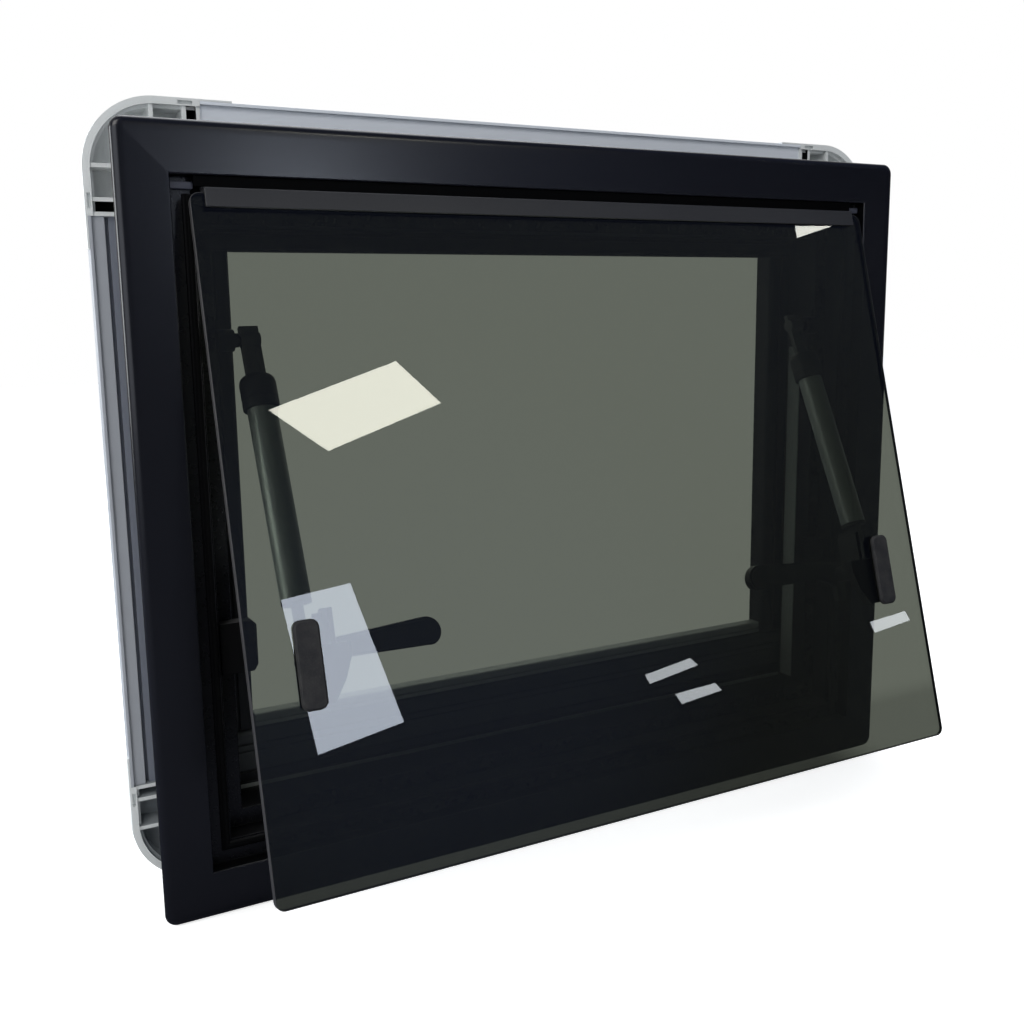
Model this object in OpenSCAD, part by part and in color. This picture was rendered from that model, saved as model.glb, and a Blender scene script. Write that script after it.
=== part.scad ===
// Push-out caravan window, opened on two telescopic stays.
// Millimetres. +Z is up, +Y points into the room, the outside is on -Y.
// The origin is on the back face of the outer flange, in the middle of its bottom rail.

/* [Outer flange] */

// Width of the outer flange
flange_w = 612; // [560:1:640]
// Height of the outer flange
flange_h = 500; // [470:1:540]
// Width of the flange face, from its outer edge to the recess
face_w = 31.5; // [26:0.5:36]
// Thickness of the flange
flange_t = 5; // [3:0.5:8]
// Radius of the flange's outer corners
flange_r = 8; // [4:1:14]
// Chamfer of the flange's outer edge
edge_c = 2; // [1:0.25:2.5]
// Chamfer of the flange's inner edge
lip_c = 0.8; // [0.4:0.1:1.2]
// Fall of the flange face towards its outer edge
face_fall = 0.8; // [0.2:0.1:1.2]
// Wall of the frame profile
wall_t = 2.5; // [2:0.5:4]
// Width of the ledge that carries the sash seal
ledge_w = 15; // [12:0.5:18]
// Depth of the seal ledge behind the flange back
ledge_y = 6; // [5:0.5:9]
// Width of the inner step
step_w = 12; // [9:0.5:14]
// Depth of the inner step behind the flange back
step_y = 22; // [16:0.5:26]
// Depth of the whole frame behind the flange back
frame_y = 54; // [48:1:60]

/* [Sash] */

// Gap between the pane and the recess at each side
glass_side = 9.5; // [8:0.5:12]
// Gap between the pane's top edge and the recess, which takes the hinge
glass_head = 12.6; // [11:0.1:16]
// Gap between the pane's bottom edge and the recess
glass_foot = 8.4; // [7:0.1:12]
// Gap between the shut pane and the seal
glass_gap = 5.3; // [5.1:0.1:7]
// Thickness of the pane
glass_t = 5; // [4:0.5:6]
// Radius of the pane's corners
glass_r = 6; // [3:0.5:12]
// Opening angle of the sash as modelled
open_a = 15.3; // [5:0.1:30]
// Distance of the hinge rail's ends from the pane's sides
rail_in = 9; // [6:0.5:20]
// Wall of the hinge rail
rail_t = 1.8; // [1.2:0.1:2.2]
// Height of the hinge rail above the pane's top edge
rail_top = 3; // [2:0.1:3.4]
// Distance of the hinge axis below the recess's top side
axis_drop = 6.5; // [6:0.1:8]
// Thickness of the hinge bead's neck
neck_t = 1.6; // [1.2:0.1:1.8]
// Wall of the hinge track round the bead
track_t = 1.3; // [1:0.1:1.6]
// Height of the hinge rail's front lip
rail_h = 12; // [9:0.5:16]
// Radius of the hinge bead
bead_r = 2.2; // [1.8:0.1:2.6]
// Running clearance round the hinge bead
bead_gap = 0.3; // [0.2:0.05:0.5]
// Width of the seal
seal_w = 8; // [6:0.5:9]
// Height of the relaxed seal above its ledge
seal_h = 3; // [2:0.5:3.5]
// Distance of the seal from the ledge's inner edge
seal_in = 1; // [0.5:0.25:2]
// Width of the seal's lip
seal_lip = 4.5; // [3:0.5:5.5]

/* [Inner frame] */

// Reach of the inner frame past the flange at each side
ring_side = 10.5; // [6:0.5:14]
// Half of what the inner frame is taller than the flange
ring_over = 4.5; // [2:0.5:6]
// Height of the inner frame's middle above the flange's middle
ring_dz = 14.5; // [8:0.5:18]
// Gap between the flange and the inner frame, which takes the wall
wall_gap = 38; // [30:1:42]
// Depth of the inner frame
ring_d = 34; // [30:1:44]
// Radius of the inner frame's outer corners
ring_r = 45; // [38:1:52]
// Thickness of the corner piece's rim
rim_t = 4.5; // [4.5:0.5:6]
// Depth of the rim, behind which the outer wall steps in
rim_d = 6; // [5:0.5:8]
// Distance the outer wall steps in behind the rim
rim_in = 4; // [2.5:0.25:4]
// Length of a corner piece along each side
corner_l = 72; // [66:1:84]
// Length of the lip that laps over the straight profile
lap_l = 20; // [12:1:26]
// Thickness of the lap lip
lap_t = 1.2; // [1:0.1:1.8]
// Depth of the pockets between the ribs
tray_d = 20; // [14:1:24]
// Thickness of a rib
rib_t = 2.5; // [1.5:0.25:3]
// Distance of the first rib from the frame's outer corner
rib_1 = 41; // [36:1:44]
// Distance between ribs
rib_step = 20; // [16:1:22]
// Length of the small pocket in the rim
pocket_l = 9; // [6:0.5:9.5]
// Depth of the small pocket in the rim
pocket_d = 3; // [2:0.5:5]
// Wall of the straight profiles
prof_t = 2; // [1.5:0.25:2.5]
// Width of the tray that bears on the wall, at the sides and the top
tray_w = 34; // [28:1:36]
// Gap between the bottom tray and the outer frame
tray_gap = 2.5; // [2:0.5:4]
// Distance of the clear opening from the flange's outer edge at each side
clear_side = 78; // [70:1:86]
// Distance of the clear opening from the flange's top edge
clear_head = 72.5; // [66:0.5:84]
// Distance of the clear opening from the flange's bottom edge
clear_foot = 100.5; // [94:0.5:110]
// Radius of the panels' edges round the clear opening
nose_r = 5; // [3:0.5:8]
// Width and depth of the panels' joint lines
line_w = 1.5; // [1:0.25:2.5]
// Height of the pull bar
bar_h = 9; // [6:0.5:12]
// Depth of the pull bar
bar_d = 12; // [8:0.5:14]

/* [Fittings] */

// Height of a keeper
keeper_h = 34; // [26:1:42]
// Reach of a keeper from the step's wall towards the middle
keeper_w = 14; // [12:0.5:15]
// Depth of a keeper
keeper_d = 10; // [8:0.5:12]
// Thickness of a bracket's plate
plate_t = 2.5; // [1.5:0.25:3]
// Height of a bracket's plate
plate_h = 26; // [22:1:32]
// Depth of a bracket's plate
plate_d = 24; // [20:1:28]
// Radius of the bracket's eye
eye_r = 7; // [6:0.25:8]
// Radius of the stay pins
pin_r = 2.5; // [2:0.1:3]
// Running clearance round the stay pins
pin_gap = 0.06; // [0.05:0.01:0.2]
// Side clearance between a stay and what carries it
stay_gap = 1; // [0.6:0.1:2]

/* [Latches] */

// Distance of the latches from the pane's sides
latch_in = 36.5; // [34:0.5:44]
// Distance of the latches' middle below the pane's top edge
latch_s = 282.5; // [270:0.5:290]
// Width of the outside cover
pad_w = 16; // [12:0.5:20]
// Height of the outside cover
pad_h = 53; // [44:1:60]
// Thickness of the outside cover
pad_t = 3; // [2:0.5:4]
// Radius of the outside cover's corners
pad_r = 5; // [3:0.5:7]
// Height of the latch body above the pane
body_t = 7; // [6:0.5:9]
// Distance of the spindle inwards of the cover's middle
post_in = 12; // [11:0.5:13]
// Radius of the spindle's post
post_r = 6; // [5:0.25:7]
// Thickness of the stay's lug
lug_t = 3; // [2:0.25:4]
// Distance of the lug inwards of the cover's middle
lug_x = 15.5; // [15:0.25:17]
// Length of the lever from its spindle to the middle of its round end
lever_l = 79; // [68:1:84]
// Width of the lever's end
lever_w = 18.5; // [14:0.5:20]
// Thickness of the lever
lever_t = 9; // [6:0.5:10]
// Radius of the lever's hub
hub_r = 9.5; // [8:0.25:11]
// Offset of the lever's grip above its spindle
grip_up = 6.5; // [4:0.5:8]
// Height of the lever above the outside face of the pane
lever_off = 36; // [30:0.5:38]
// Reach of the cam from the spindle
cam_l = 21; // [19:0.5:22.5]

/* [Stays] */

// Distance of the stays inwards of the latches
stay_in = 2.5; // [1.5:0.5:4]
// Depth of the upper pivot behind the flange back
pivot_y = 22; // [18:0.5:26]
// Height of the upper pivot above the flange's middle
pivot_z = 120.5; // [112:0.5:126]
// Distance of the lower pivot below the pane's top edge
foot_s = 256; // [250:1:260]
// Height of the lower pivot above the outside face of the pane
foot_off = 20; // [17:0.5:22]
// Outer radius of the stay tube
tube_r = 9.25; // [8.5:0.25:10]
// Inner radius of the stay tube
bore_r = 7.5; // [7.25:0.25:7.75]
// Width of the flat rod
rod_w = 12.5; // [10.5:0.5:13]
// Thickness of the flat rod
rod_t = 4; // [3:0.5:4.5]
// Length of the rod above the upper pivot
rod_top = 9; // [7:0.5:11]
// Width of the channel in the rod's faces
rod_c = 5.5; // [4:0.5:6]
// Distance of the rod's end above the lower pivot
rod_end = 58; // [46:1:70]
// Distance of the collar from the upper pivot
collar_s = 25.5; // [22:0.5:30]
// Outer radius of the collar
collar_r = 11.5; // [11:0.25:12.5]
// Height of the collar
collar_h = 22; // [16:1:28]
// Height of the end caps' rims
cap_h = 4; // [3:0.5:5]
// Distance of the tube's end above the lower pivot
foot_l = 12.4; // [10:0.2:16]

/* [Hidden] */

$fn = 64;
zc = flange_h / 2 - face_w / 2;
half_w = flange_w / 2;
half_h = flange_h / 2;
glass_w = flange_w - 2 * face_w - 2 * glass_side;
glass_h = flange_h - 2 * face_w - glass_head - glass_foot;
rail_w = glass_w - 2 * rail_in;
ring_w = flange_w + 2 * ring_side;
ring_h = flange_h + 2 * ring_over;
clear_w = flange_w - 2 * clear_side;
clear_h = flange_h - clear_head - clear_foot;
latch_x = glass_w / 2 - latch_in;
stay_x = latch_x - stay_in;
u_ledge = face_w + ledge_w;
u_step = u_ledge + step_w;
u_out = face_w - wall_t;
axis_y = 1;
axis_z = zc + half_h - face_w - axis_drop;
pane_y = ledge_y - seal_h - glass_gap - glass_t;
pane_top = zc + half_h - face_w - glass_head;
ring_y = wall_gap;
ring_z = zc + ring_dz;
ring_back = ring_y + ring_d;
clear_z = zc + (clear_foot - clear_head) / 2;
panel_y = frame_y;
latch_z = pane_top - latch_s;
pivot_h = zc + pivot_z;
foot_y0 = pane_y + foot_off - axis_y;
foot_z0 = pane_top - foot_s - axis_z;
foot_y = axis_y + foot_y0 * cos(open_a) + foot_z0 * sin(open_a);
foot_z = axis_z - foot_y0 * sin(open_a) + foot_z0 * cos(open_a);
stay_a = atan2(pivot_y - foot_y, pivot_h - foot_z);
stay_l = sqrt(pow(pivot_y - foot_y, 2) + pow(pivot_h - foot_z, 2));
tube_s = stay_l - foot_l;
rod_l = stay_l - rod_end;
wall_in = rim_in + rib_t;
edge_y = face_fall - flange_t;
web_y = ring_y + tray_d;
tray_low = u_out - ring_dz + ring_over - tray_gap;
big = 800;

// Profiles

module frame_profile() {
  difference() {
    polygon([
      [0, edge_y + edge_c], [edge_c, edge_y], [face_w - lip_c, -flange_t],
      [face_w, lip_c - flange_t], [face_w, ledge_y],
      [u_ledge, ledge_y], [u_ledge, step_y], [u_step, step_y],
      [u_step, frame_y], [u_out, frame_y], [u_out, 0], [0, 0]
    ]);
    polygon([
      [u_out + wall_t, ledge_y + wall_t], [u_ledge - wall_t, ledge_y + wall_t],
      [u_ledge - wall_t, step_y + wall_t], [u_step - wall_t, step_y + wall_t],
      [u_step - wall_t, frame_y - wall_t], [u_out + wall_t, frame_y - wall_t]
    ]);
  }
}

module rounded_plate(w, h, r, y0, y1) {
  translate([0, y1, 0])
    rotate([90, 0, 0])
      linear_extrude(y1 - y0)
        union() {
          square([w - 2 * r, h], center = true);
          square([w, h - 2 * r], center = true);
          for (sx = [-1, 1], sz = [-1, 1])
            translate([sx * (w / 2 - r), sz * (h / 2 - r)])
              circle(r);
        }
}

// A straight rail along X, its outer edge on z = 0 and its body above, cut at 45 degrees.
module mitred(l) {
  difference() {
    translate([-l / 2, 0, 0])
      rotate([90, 0, 90])
        linear_extrude(l)
          mirror([1, -1, 0])
            frame_profile();
    for (s = [-1, 1])
      translate([s * l / 2, 0, 0])
        rotate([0, -s * 45, 0])
          translate([s > 0 ? 0 : -big, -big / 2, -big / 2])
            cube(big);
  }
}

module outer_corner_cut() {
  for (sx = [-1, 1], sz = [-1, 1])
    translate([sx * half_w, 0, zc + sz * half_h])
      mirror([sx > 0 ? 1 : 0, 0, 0])
        mirror([0, 0, sz > 0 ? 1 : 0])
          difference() {
            translate([-1, -20, -1])
              cube([flange_r + 1, 40, flange_r + 1]);
            translate([flange_r, 21, flange_r])
              rotate([90, 0, 0])
                cylinder(r = flange_r, h = 42);
          }
}

// Outer frame

module outer_bottom() {
  color("#17191d")
    difference() {
      translate([0, 0, zc - half_h])
        mitred(flange_w);
      outer_corner_cut();
    }
}

module outer_top() {
  color("#17191d")
    difference() {
      translate([0, 0, zc + half_h])
        mirror([0, 0, 1])
          mitred(flange_w);
      outer_corner_cut();
    }
}

module outer_left() {
  color("#17191d")
    difference() {
      translate([-half_w, 0, zc])
        rotate([0, 90, 0])
          mitred(flange_h);
      outer_corner_cut();
    }
}

module outer_right() {
  color("#17191d")
    difference() {
      translate([half_w, 0, zc])
        rotate([0, -90, 0])
          mitred(flange_h);
      outer_corner_cut();
    }
}

// A flat ring round the ledge, from in to in + w outside the ledge's inner edge.
module ledge_ring(in, w, y0, y1) {
  iw = flange_w - 2 * u_ledge + 2 * in;
  ih = flange_h - 2 * u_ledge + 2 * in;
  difference() {
    rounded_plate(iw + 2 * w, ih + 2 * w, seal_w, y0, y1);
    rounded_plate(iw, ih, seal_in, y0 - 1, y1 + 1);
  }
}

module sash_seal() {
  color("#0d0d0e")
    difference() {
      translate([0, 0, zc])
        union() {
          ledge_ring(seal_in, seal_w, ledge_y - seal_h / 2, ledge_y);
          ledge_ring(seal_in, seal_lip, ledge_y - seal_h, ledge_y);
        }
      translate([-big / 2, ledge_y - seal_h - 1, axis_z - bead_r - bead_gap - track_t])
        cube([big, seal_h + 2, big]);
    }
}

module hinge_track() {
  top_z = zc + half_h - face_w;
  r0 = bead_r + bead_gap;
  y0 = axis_y - r0 - track_t;
  z0 = axis_z - r0 - track_t;
  color("#17191d")
    difference() {
      translate([-rail_w / 2 - rail_in / 2, y0, z0])
        cube([rail_w + rail_in, ledge_y - seal_h / 2 - y0, top_z - z0]);
      translate([-big / 2, axis_y, axis_z])
        rotate([0, 90, 0])
          cylinder(r = r0, h = big);
      translate([-big / 2, 0, 0])
        rotate([90, 0, 90])
          linear_extrude(big)
            polygon([
              [axis_y + 2 * neck_t, z0 - 1], [axis_y + neck_t, axis_z - neck_t],
              [axis_y, axis_z], [y0 - 1, axis_z], [y0 - 1, z0 - 1]
            ]);
    }
}

// Inner frame

module corner_arc(r, y0, y1) {
  translate([ring_r, y1, ring_r])
    rotate([90, 0, 0])
      cylinder(r = r, h = y1 - y0);
}

// A corner piece with its outer corner on the origin, running along +X and +Z.
// The leg along X is as wide as tz.
module ring_corner(tz) {
  difference() {
    union() {
      difference() {
        translate([0, ring_y, 0])
          cube([corner_l, ring_d, corner_l]);
        translate([rim_t, ring_y - 1, rim_t])
          cube([big, rim_d - 1, big]);
        translate([wall_in, ring_y - 1, wall_in])
          cube([big, web_y - ring_y + 1, big]);
        translate([tray_w, ring_y - 1, tz])
          cube([big, big, big]);
        translate([wall_in, web_y + rib_t, wall_in])
          cube([big, ring_back - web_y - 2 * rib_t, big]);
      }
      difference() {
        translate([0, ring_y, 0])
          cube([ring_r, web_y - ring_y, ring_r]);
        corner_arc(ring_r - rim_t, ring_y - 1, ring_y + rim_d - 2);
        corner_arc(ring_r - wall_in, ring_y - 1, web_y + 1);
      }
      for (p = [rib_1, rib_1 + rib_step, corner_l - rib_t]) {
        translate([p, ring_y + 1, rim_in + 0.25])
          cube([rib_t, tray_d, tz - rim_in - 0.25]);
        translate([rim_in + 0.25, ring_y + 1, p])
          cube([tray_w - rim_in - 0.25, tray_d, rib_t]);
      }
      translate([corner_l - 1, ring_y, 0])
        cube([lap_l + 1, rim_d, lap_t]);
      translate([0, ring_y, corner_l - 1])
        cube([lap_t, rim_d, lap_l + 1]);
    }
    translate([-1, ring_y + rim_d, -1])
      cube([rim_in + 1, ring_d, big]);
    translate([-1, ring_y + rim_d, -1])
      cube([big, ring_d, rim_in + 1]);
    translate([rib_1 + rib_step - rib_t, ring_y - 1, rim_t / 3])
      cube([pocket_l, pocket_d + 1, rim_t / 2]);
    translate([rim_t / 3, ring_y - 1, rib_1 + rib_step - rib_t])
      cube([rim_t / 2, pocket_d + 1, pocket_l]);
    difference() {
      translate([-1, ring_y - 2, -1])
        cube([ring_r + 1, ring_d + 4, ring_r + 1]);
      corner_arc(ring_r, ring_y - 3, ring_back + 3);
    }
    difference() {
      translate([-1, ring_y + rim_d, -1])
        cube([ring_r + 1, ring_d + 1, ring_r + 1]);
      corner_arc(ring_r - rim_in, ring_y, ring_back + 3);
    }
  }
}

module ring_place(sx, sz) {
  translate([sx * ring_w / 2, 0, ring_z + sz * ring_h / 2])
    mirror([sx > 0 ? 1 : 0, 0, 0])
      mirror([0, 0, sz > 0 ? 1 : 0])
        children();
}

module ring_corner_tl() {
  color("#b9bebe")
    ring_place(-1, 1)
      ring_corner(tray_w);
}

module ring_corner_tr() {
  color("#b9bebe")
    ring_place(1, 1)
      ring_corner(tray_w);
}

module ring_corner_bl() {
  color("#b9bebe")
    ring_place(-1, -1)
      ring_corner(tray_low);
}

module ring_corner_br() {
  color("#b9bebe")
    ring_place(1, -1)
      ring_corner(tray_low);
}

// Section of the straight profile: distance from the outer edge, then depth.
module ring_profile(tw) {
  groove = lap_t + 7.9;
  ridge = groove + 2.5;
  foot = tray_low - lap_t / 2;
  polygon([
    [lap_t, ring_y], [lap_t + prof_t, ring_y], [lap_t + prof_t, ring_y + 2.5],
    [groove, ring_y + 2.5], [groove, ring_y + 8], [ridge, ring_y + 8],
    [ridge, ring_y + 4], [foot - 1, ring_y + 4], [foot - 1, web_y],
    [tw, web_y], [tw, ring_back], [tw - prof_t, ring_back],
    [tw - prof_t, web_y + prof_t], [ridge - 1, web_y + prof_t], [ridge - 1, ring_y + 8 + prof_t],
    [groove - prof_t, ring_y + 8 + prof_t], [groove - prof_t, ring_y + 2.5 + prof_t],
    [rim_in + 0.5 + prof_t, ring_y + 2.5 + prof_t], [rim_in + 0.5 + prof_t, ring_back],
    [rim_in + 0.5, ring_back], [rim_in + 0.5, ring_y + rim_d], [lap_t, ring_y + rim_d]
  ]);
}

module straight(l, tw) {
  translate([-l / 2, 0, 0])
    rotate([90, 0, 90])
      linear_extrude(l)
        mirror([1, -1, 0])
          ring_profile(tw);
}

module ring_bottom() {
  color("#9fa4a8")
    translate([0, 0, ring_z - ring_h / 2])
      straight(ring_w - 2 * corner_l, tray_low);
}

module ring_top() {
  color("#9fa4a8")
    translate([0, 0, ring_z + ring_h / 2])
      mirror([0, 0, 1])
        straight(ring_w - 2 * corner_l, tray_w);
}

module ring_left() {
  color("#9fa4a8")
    translate([-ring_w / 2, 0, ring_z])
      rotate([0, 90, 0])
        straight(ring_h - 2 * corner_l, tray_w);
}

module ring_right() {
  color("#9fa4a8")
    translate([ring_w / 2, 0, ring_z])
      rotate([0, -90, 0])
        straight(ring_h - 2 * corner_l, tray_w);
}

// Section of a panel: distance from the clear opening, then depth. Its lines are cut into the front.
module panel_section(w, lines) {
  d = ring_back - panel_y;
  difference() {
    square([w, d]);
    difference() {
      translate([-1, -1])
        square(nose_r + 1);
      translate([nose_r, nose_r])
        circle(nose_r);
    }
    for (p = lines)
      translate([p, -1])
        square([line_w, line_w + 1]);
  }
}

// A panel along X with its clear edge on z = 0 and its body below.
module panel_run(l, w, lines) {
  translate([-l / 2, panel_y, 0])
    rotate([90, 0, 90])
      linear_extrude(l)
        mirror([1, -1, 0])
          mirror([1, 0, 0])
            panel_section(w, lines);
}

module panel_top() {
  w = ring_z + ring_h / 2 - tray_w - clear_z - clear_h / 2;
  color("#2a2c2e")
    translate([0, 0, clear_z + clear_h / 2])
      mirror([0, 0, 1])
        panel_run(ring_w - 2 * tray_w, w, [2 * nose_r, 3 * nose_r, w / 2]);
}

module panel_bottom() {
  w = clear_z - clear_h / 2 - ring_z + ring_h / 2 - tray_low;
  color("#2a2c2e")
    translate([0, 0, clear_z - clear_h / 2])
      panel_run(ring_w - 2 * tray_w, w, [2 * nose_r, 3 * nose_r, 6 * nose_r, w / 2]);
}

module panel_side(s) {
  w = (ring_w - clear_w) / 2 - tray_w;
  translate([s * clear_w / 2, 0, clear_z])
    rotate([0, -s * 90, 0])
      panel_run(clear_h, w, [2 * nose_r]);
}

module panel_left() {
  color("#2a2c2e")
    panel_side(-1);
}

module panel_right() {
  color("#2a2c2e")
    panel_side(1);
}

module blind_bar() {
  r = bar_d / 6;
  color("#6f7371")
    translate([1 - clear_w / 2, panel_y + (ring_back - panel_y - bar_d) / 2, clear_z - clear_h / 2])
      rotate([90, 0, 90])
        linear_extrude(clear_w - 2)
          difference() {
            union() {
              square([bar_d, bar_h - r]);
              translate([r, 0])
                square([bar_d - 2 * r, bar_h]);
              for (p = [r, bar_d - r])
                translate([p, bar_h - r])
                  circle(r);
            }
            translate([-1, bar_h / 3])
              square([1 + line_w, line_w]);
          }
}

// Fittings on the outer frame

module keeper(s) {
  seat = step_w * 3 / 4;
  w = seat + keeper_w;
  c = keeper_d / 4;
  mirror([s > 0 ? 1 : 0, 0, 0])
    translate([u_step - half_w - seat, step_y - keeper_d, latch_z - keeper_h / 2])
      difference() {
        linear_extrude(keeper_h)
          polygon([
            [-1, 0], [w - c, 0], [w, c], [w, keeper_d], [-1, keeper_d]
          ]);
        for (z = [0, keeper_h])
          translate([w, -1, z])
            rotate([0, 45, 0])
              translate([-c, 0, -c])
                cube([2 * c, keeper_d + 2, 2 * c]);
        translate([-2, keeper_d / 3, -1])
          cube([line_w, keeper_d / 3, keeper_h + 2]);
      }
}

module keeper_left() {
  color("#101112")
    keeper(-1);
}

module keeper_right() {
  color("#101112")
    keeper(1);
}

module bracket(s) {
  x0 = half_w - u_step;
  x1 = stay_x + collar_r - stay_gap;
  x2 = stay_x + rod_w / 2 + stay_gap;
  mirror([s < 0 ? 1 : 0, 0, 0])
    union() {
      translate([x0 - plate_t, step_y + stay_gap, pivot_h - plate_h / 2])
        cube([plate_t, plate_d, plate_h]);
      translate([x1, pivot_y, pivot_h - eye_r])
        cube([x0 - x1, plate_d / 2, 2 * eye_r]);
      translate([x1, pivot_y, pivot_h])
        rotate([0, 90, 0])
          cylinder(r = eye_r, h = x0 - x1);
      translate([x2, pivot_y, pivot_h])
        rotate([0, 90, 0])
          cylinder(r = 2 * pin_r - stay_gap / 2, h = x0 - x2);
      translate([stay_x - pin_r, pivot_y, pivot_h])
        rotate([0, 90, 0])
          cylinder(r = pin_r, h = x0 - stay_x);
    }
}

module bracket_left() {
  color("#17191d")
    bracket(-1);
}

module bracket_right() {
  color("#17191d")
    bracket(1);
}

// Sash, drawn shut and then swung to its open angle

module swung() {
  translate([0, axis_y, axis_z])
    rotate([-open_a, 0, 0])
      translate([0, -axis_y, -axis_z])
        children();
}

module glass_pane() {
  color("#3b4139")
    swung()
      translate([0, 0, pane_top - glass_h / 2])
        rounded_plate(glass_w, glass_h, glass_r, pane_y, pane_y + glass_t);
}

module hinge_rail() {
  y0 = pane_y - rail_t;
  y1 = pane_y + glass_t;
  z0 = pane_top + rail_top - rail_h;
  z1 = pane_top + rail_top;
  color("#3c3c3a")
    swung()
      translate([-rail_w / 2, 0, 0])
        rotate([90, 0, 90])
          linear_extrude(rail_w)
            union() {
              polygon([
                [y0, z0], [pane_y, z0], [pane_y, pane_top], [y1, pane_top],
                [y1, z0], [y1 + rail_t, z0],
                [y1 + rail_t, z1 - 2 * rail_t], [axis_y + neck_t / 2, z1 - 2 * rail_t],
                [axis_y + neck_t / 2, axis_z], [axis_y - neck_t / 2, axis_z],
                [axis_y - neck_t / 2, z1 - rail_t], [y1 + rail_t, z1 - rail_t],
                [y1 + rail_t, z1], [y0 + rail_t / 2, z1], [y0, z1 - rail_t / 2]
              ]);
              translate([axis_y, axis_z])
                circle(bead_r);
            }
}

module pad(s) {
  rim = pad_t / 3;
  swung()
    translate([s * latch_x, 0, latch_z])
      union() {
        rounded_plate(pad_w, pad_h, pad_r, pane_y - pad_t + rim, pane_y);
        rounded_plate(pad_w - 2 * rim, pad_h - 2 * rim, pad_r - rim, pane_y - pad_t, pane_y);
      }
}

module pad_left() {
  color("#141414")
    pad(-1);
}

module pad_right() {
  color("#141414")
    pad(1);
}

// The latch body on the inside of the pane, with the spindle's post and the stay's lug.
module latch_body() {
  y0 = pane_y + glass_t;
  drop = latch_s - foot_s;
  union() {
    translate([0, y0 + body_t, 0])
      rotate([90, 0, 0])
        linear_extrude(body_t)
          polygon([
            [2 - pad_w / 2, 2 - pad_h / 2], [pad_w - 2, 2 - pad_h / 2], [pad_w + post_r, -2 * post_r],
            [lug_x + 2 * post_r, 2], [lug_x + 2 * post_r, post_r + 4], [2 - pad_w / 2, post_r + 4]
          ]);
    translate([post_in, y0 + body_t + pad_t, 0])
      rotate([90, 0, 0])
        cylinder(r = post_r + 2, h = body_t);
    translate([post_in, pane_y + lever_off - stay_gap / 2, 0])
      rotate([90, 0, 0])
        cylinder(r = post_r, h = lever_off - glass_t - stay_gap);
    translate([lug_x, y0, post_r - 2])
      cube([lug_t, foot_off - glass_t + 2 * pin_r, drop - post_r + 2]);
    translate([lug_x, y0, drop])
      cube([lug_t, foot_off - glass_t, 2 * pin_r]);
    translate([lug_x, pane_y + foot_off, drop])
      rotate([0, 90, 0])
        cylinder(r = 2 * pin_r, h = lug_t);
    translate([lug_x - 2 * pin_r, pane_y + foot_off, drop])
      rotate([0, 90, 0])
        cylinder(r = pin_r, h = 2 * pin_r + 1);
  }
}

module latch(s) {
  swung()
    translate([s * latch_x, 0, latch_z])
      mirror([s > 0 ? 1 : 0, 0, 0])
        latch_body();
}

module latch_left() {
  color("#1b1c1d")
    latch(-1);
}

module latch_right() {
  color("#1b1c1d")
    latch(1);
}

// Outline of a lever, drawn in by d.
module lever_shape(d) {
  w = lever_w / 2 - d;
  r = hub_r - d;
  union() {
    circle(r);
    translate([lever_l, grip_up])
      circle(w);
    polygon([
      [0, r], [2 * hub_r, r + 2], [lever_l, grip_up + w],
      [lever_l, grip_up - w], [2 * hub_r, d - 2], [0, -r]
    ]);
  }
}

module lever(s) {
  y0 = pane_y + lever_off;
  rim = lever_t / 6;
  swung()
    translate([s * (latch_x - post_in), 0, latch_z])
      mirror([s > 0 ? 1 : 0, 0, 0])
        union() {
          translate([0, y0 + lever_t - rim, 0])
            rotate([90, 0, 0])
              linear_extrude(lever_t - 2 * rim)
                lever_shape(0);
          translate([0, y0 + lever_t, 0])
            rotate([90, 0, 0])
              linear_extrude(lever_t)
                lever_shape(rim);
          translate([-hub_r / 2 + 0.5, y0, -cam_l])
            cube([hub_r - 1, lever_t * 2 / 3, cam_l]);
        }
}

module lever_left() {
  color("#151516")
    lever(-1);
}

module lever_right() {
  color("#151516")
    lever(1);
}

// Stays, drawn hanging straight down from the upper pivot and then swung

module hung(s) {
  translate([s * stay_x, pivot_y, pivot_h])
    rotate([-stay_a, 0, 0])
      children();
}

module rod(s) {
  hung(s)
    difference() {
      union() {
        translate([-rod_w / 2, -rod_t / 2, -rod_l])
          cube([rod_w, rod_t, rod_l + rod_top]);
        translate([-rod_w / 2, 0, 0])
          rotate([0, 90, 0])
            cylinder(r = 2 * pin_r, h = rod_w);
      }
      for (y = [-rod_t / 2 - 1, rod_t / 2 - 1])
        translate([-rod_c / 2, y, -rod_l - 1])
          cube([rod_c, 2, rod_l - 2 * pin_r]);
      translate([s > 0 ? -pin_r - 0.5 : -rod_w, 0, 0])
        rotate([0, 90, 0])
          cylinder(r = pin_r + pin_gap, h = rod_w + pin_r + 0.5);
    }
}

module rod_left() {
  color("#2c2d2d")
    rod(-1);
}

module rod_right() {
  color("#2c2d2d")
    rod(1);
}

module tube(s) {
  hung(s)
    translate([0, 0, -tube_s])
      difference() {
        cylinder(r = tube_r, h = tube_s - collar_s - cap_h);
        translate([0, 0, -1])
          cylinder(r = bore_r, h = tube_s);
      }
}

module tube_left() {
  color("#55595a")
    tube(-1);
}

module tube_right() {
  color("#55595a")
    tube(1);
}

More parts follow.
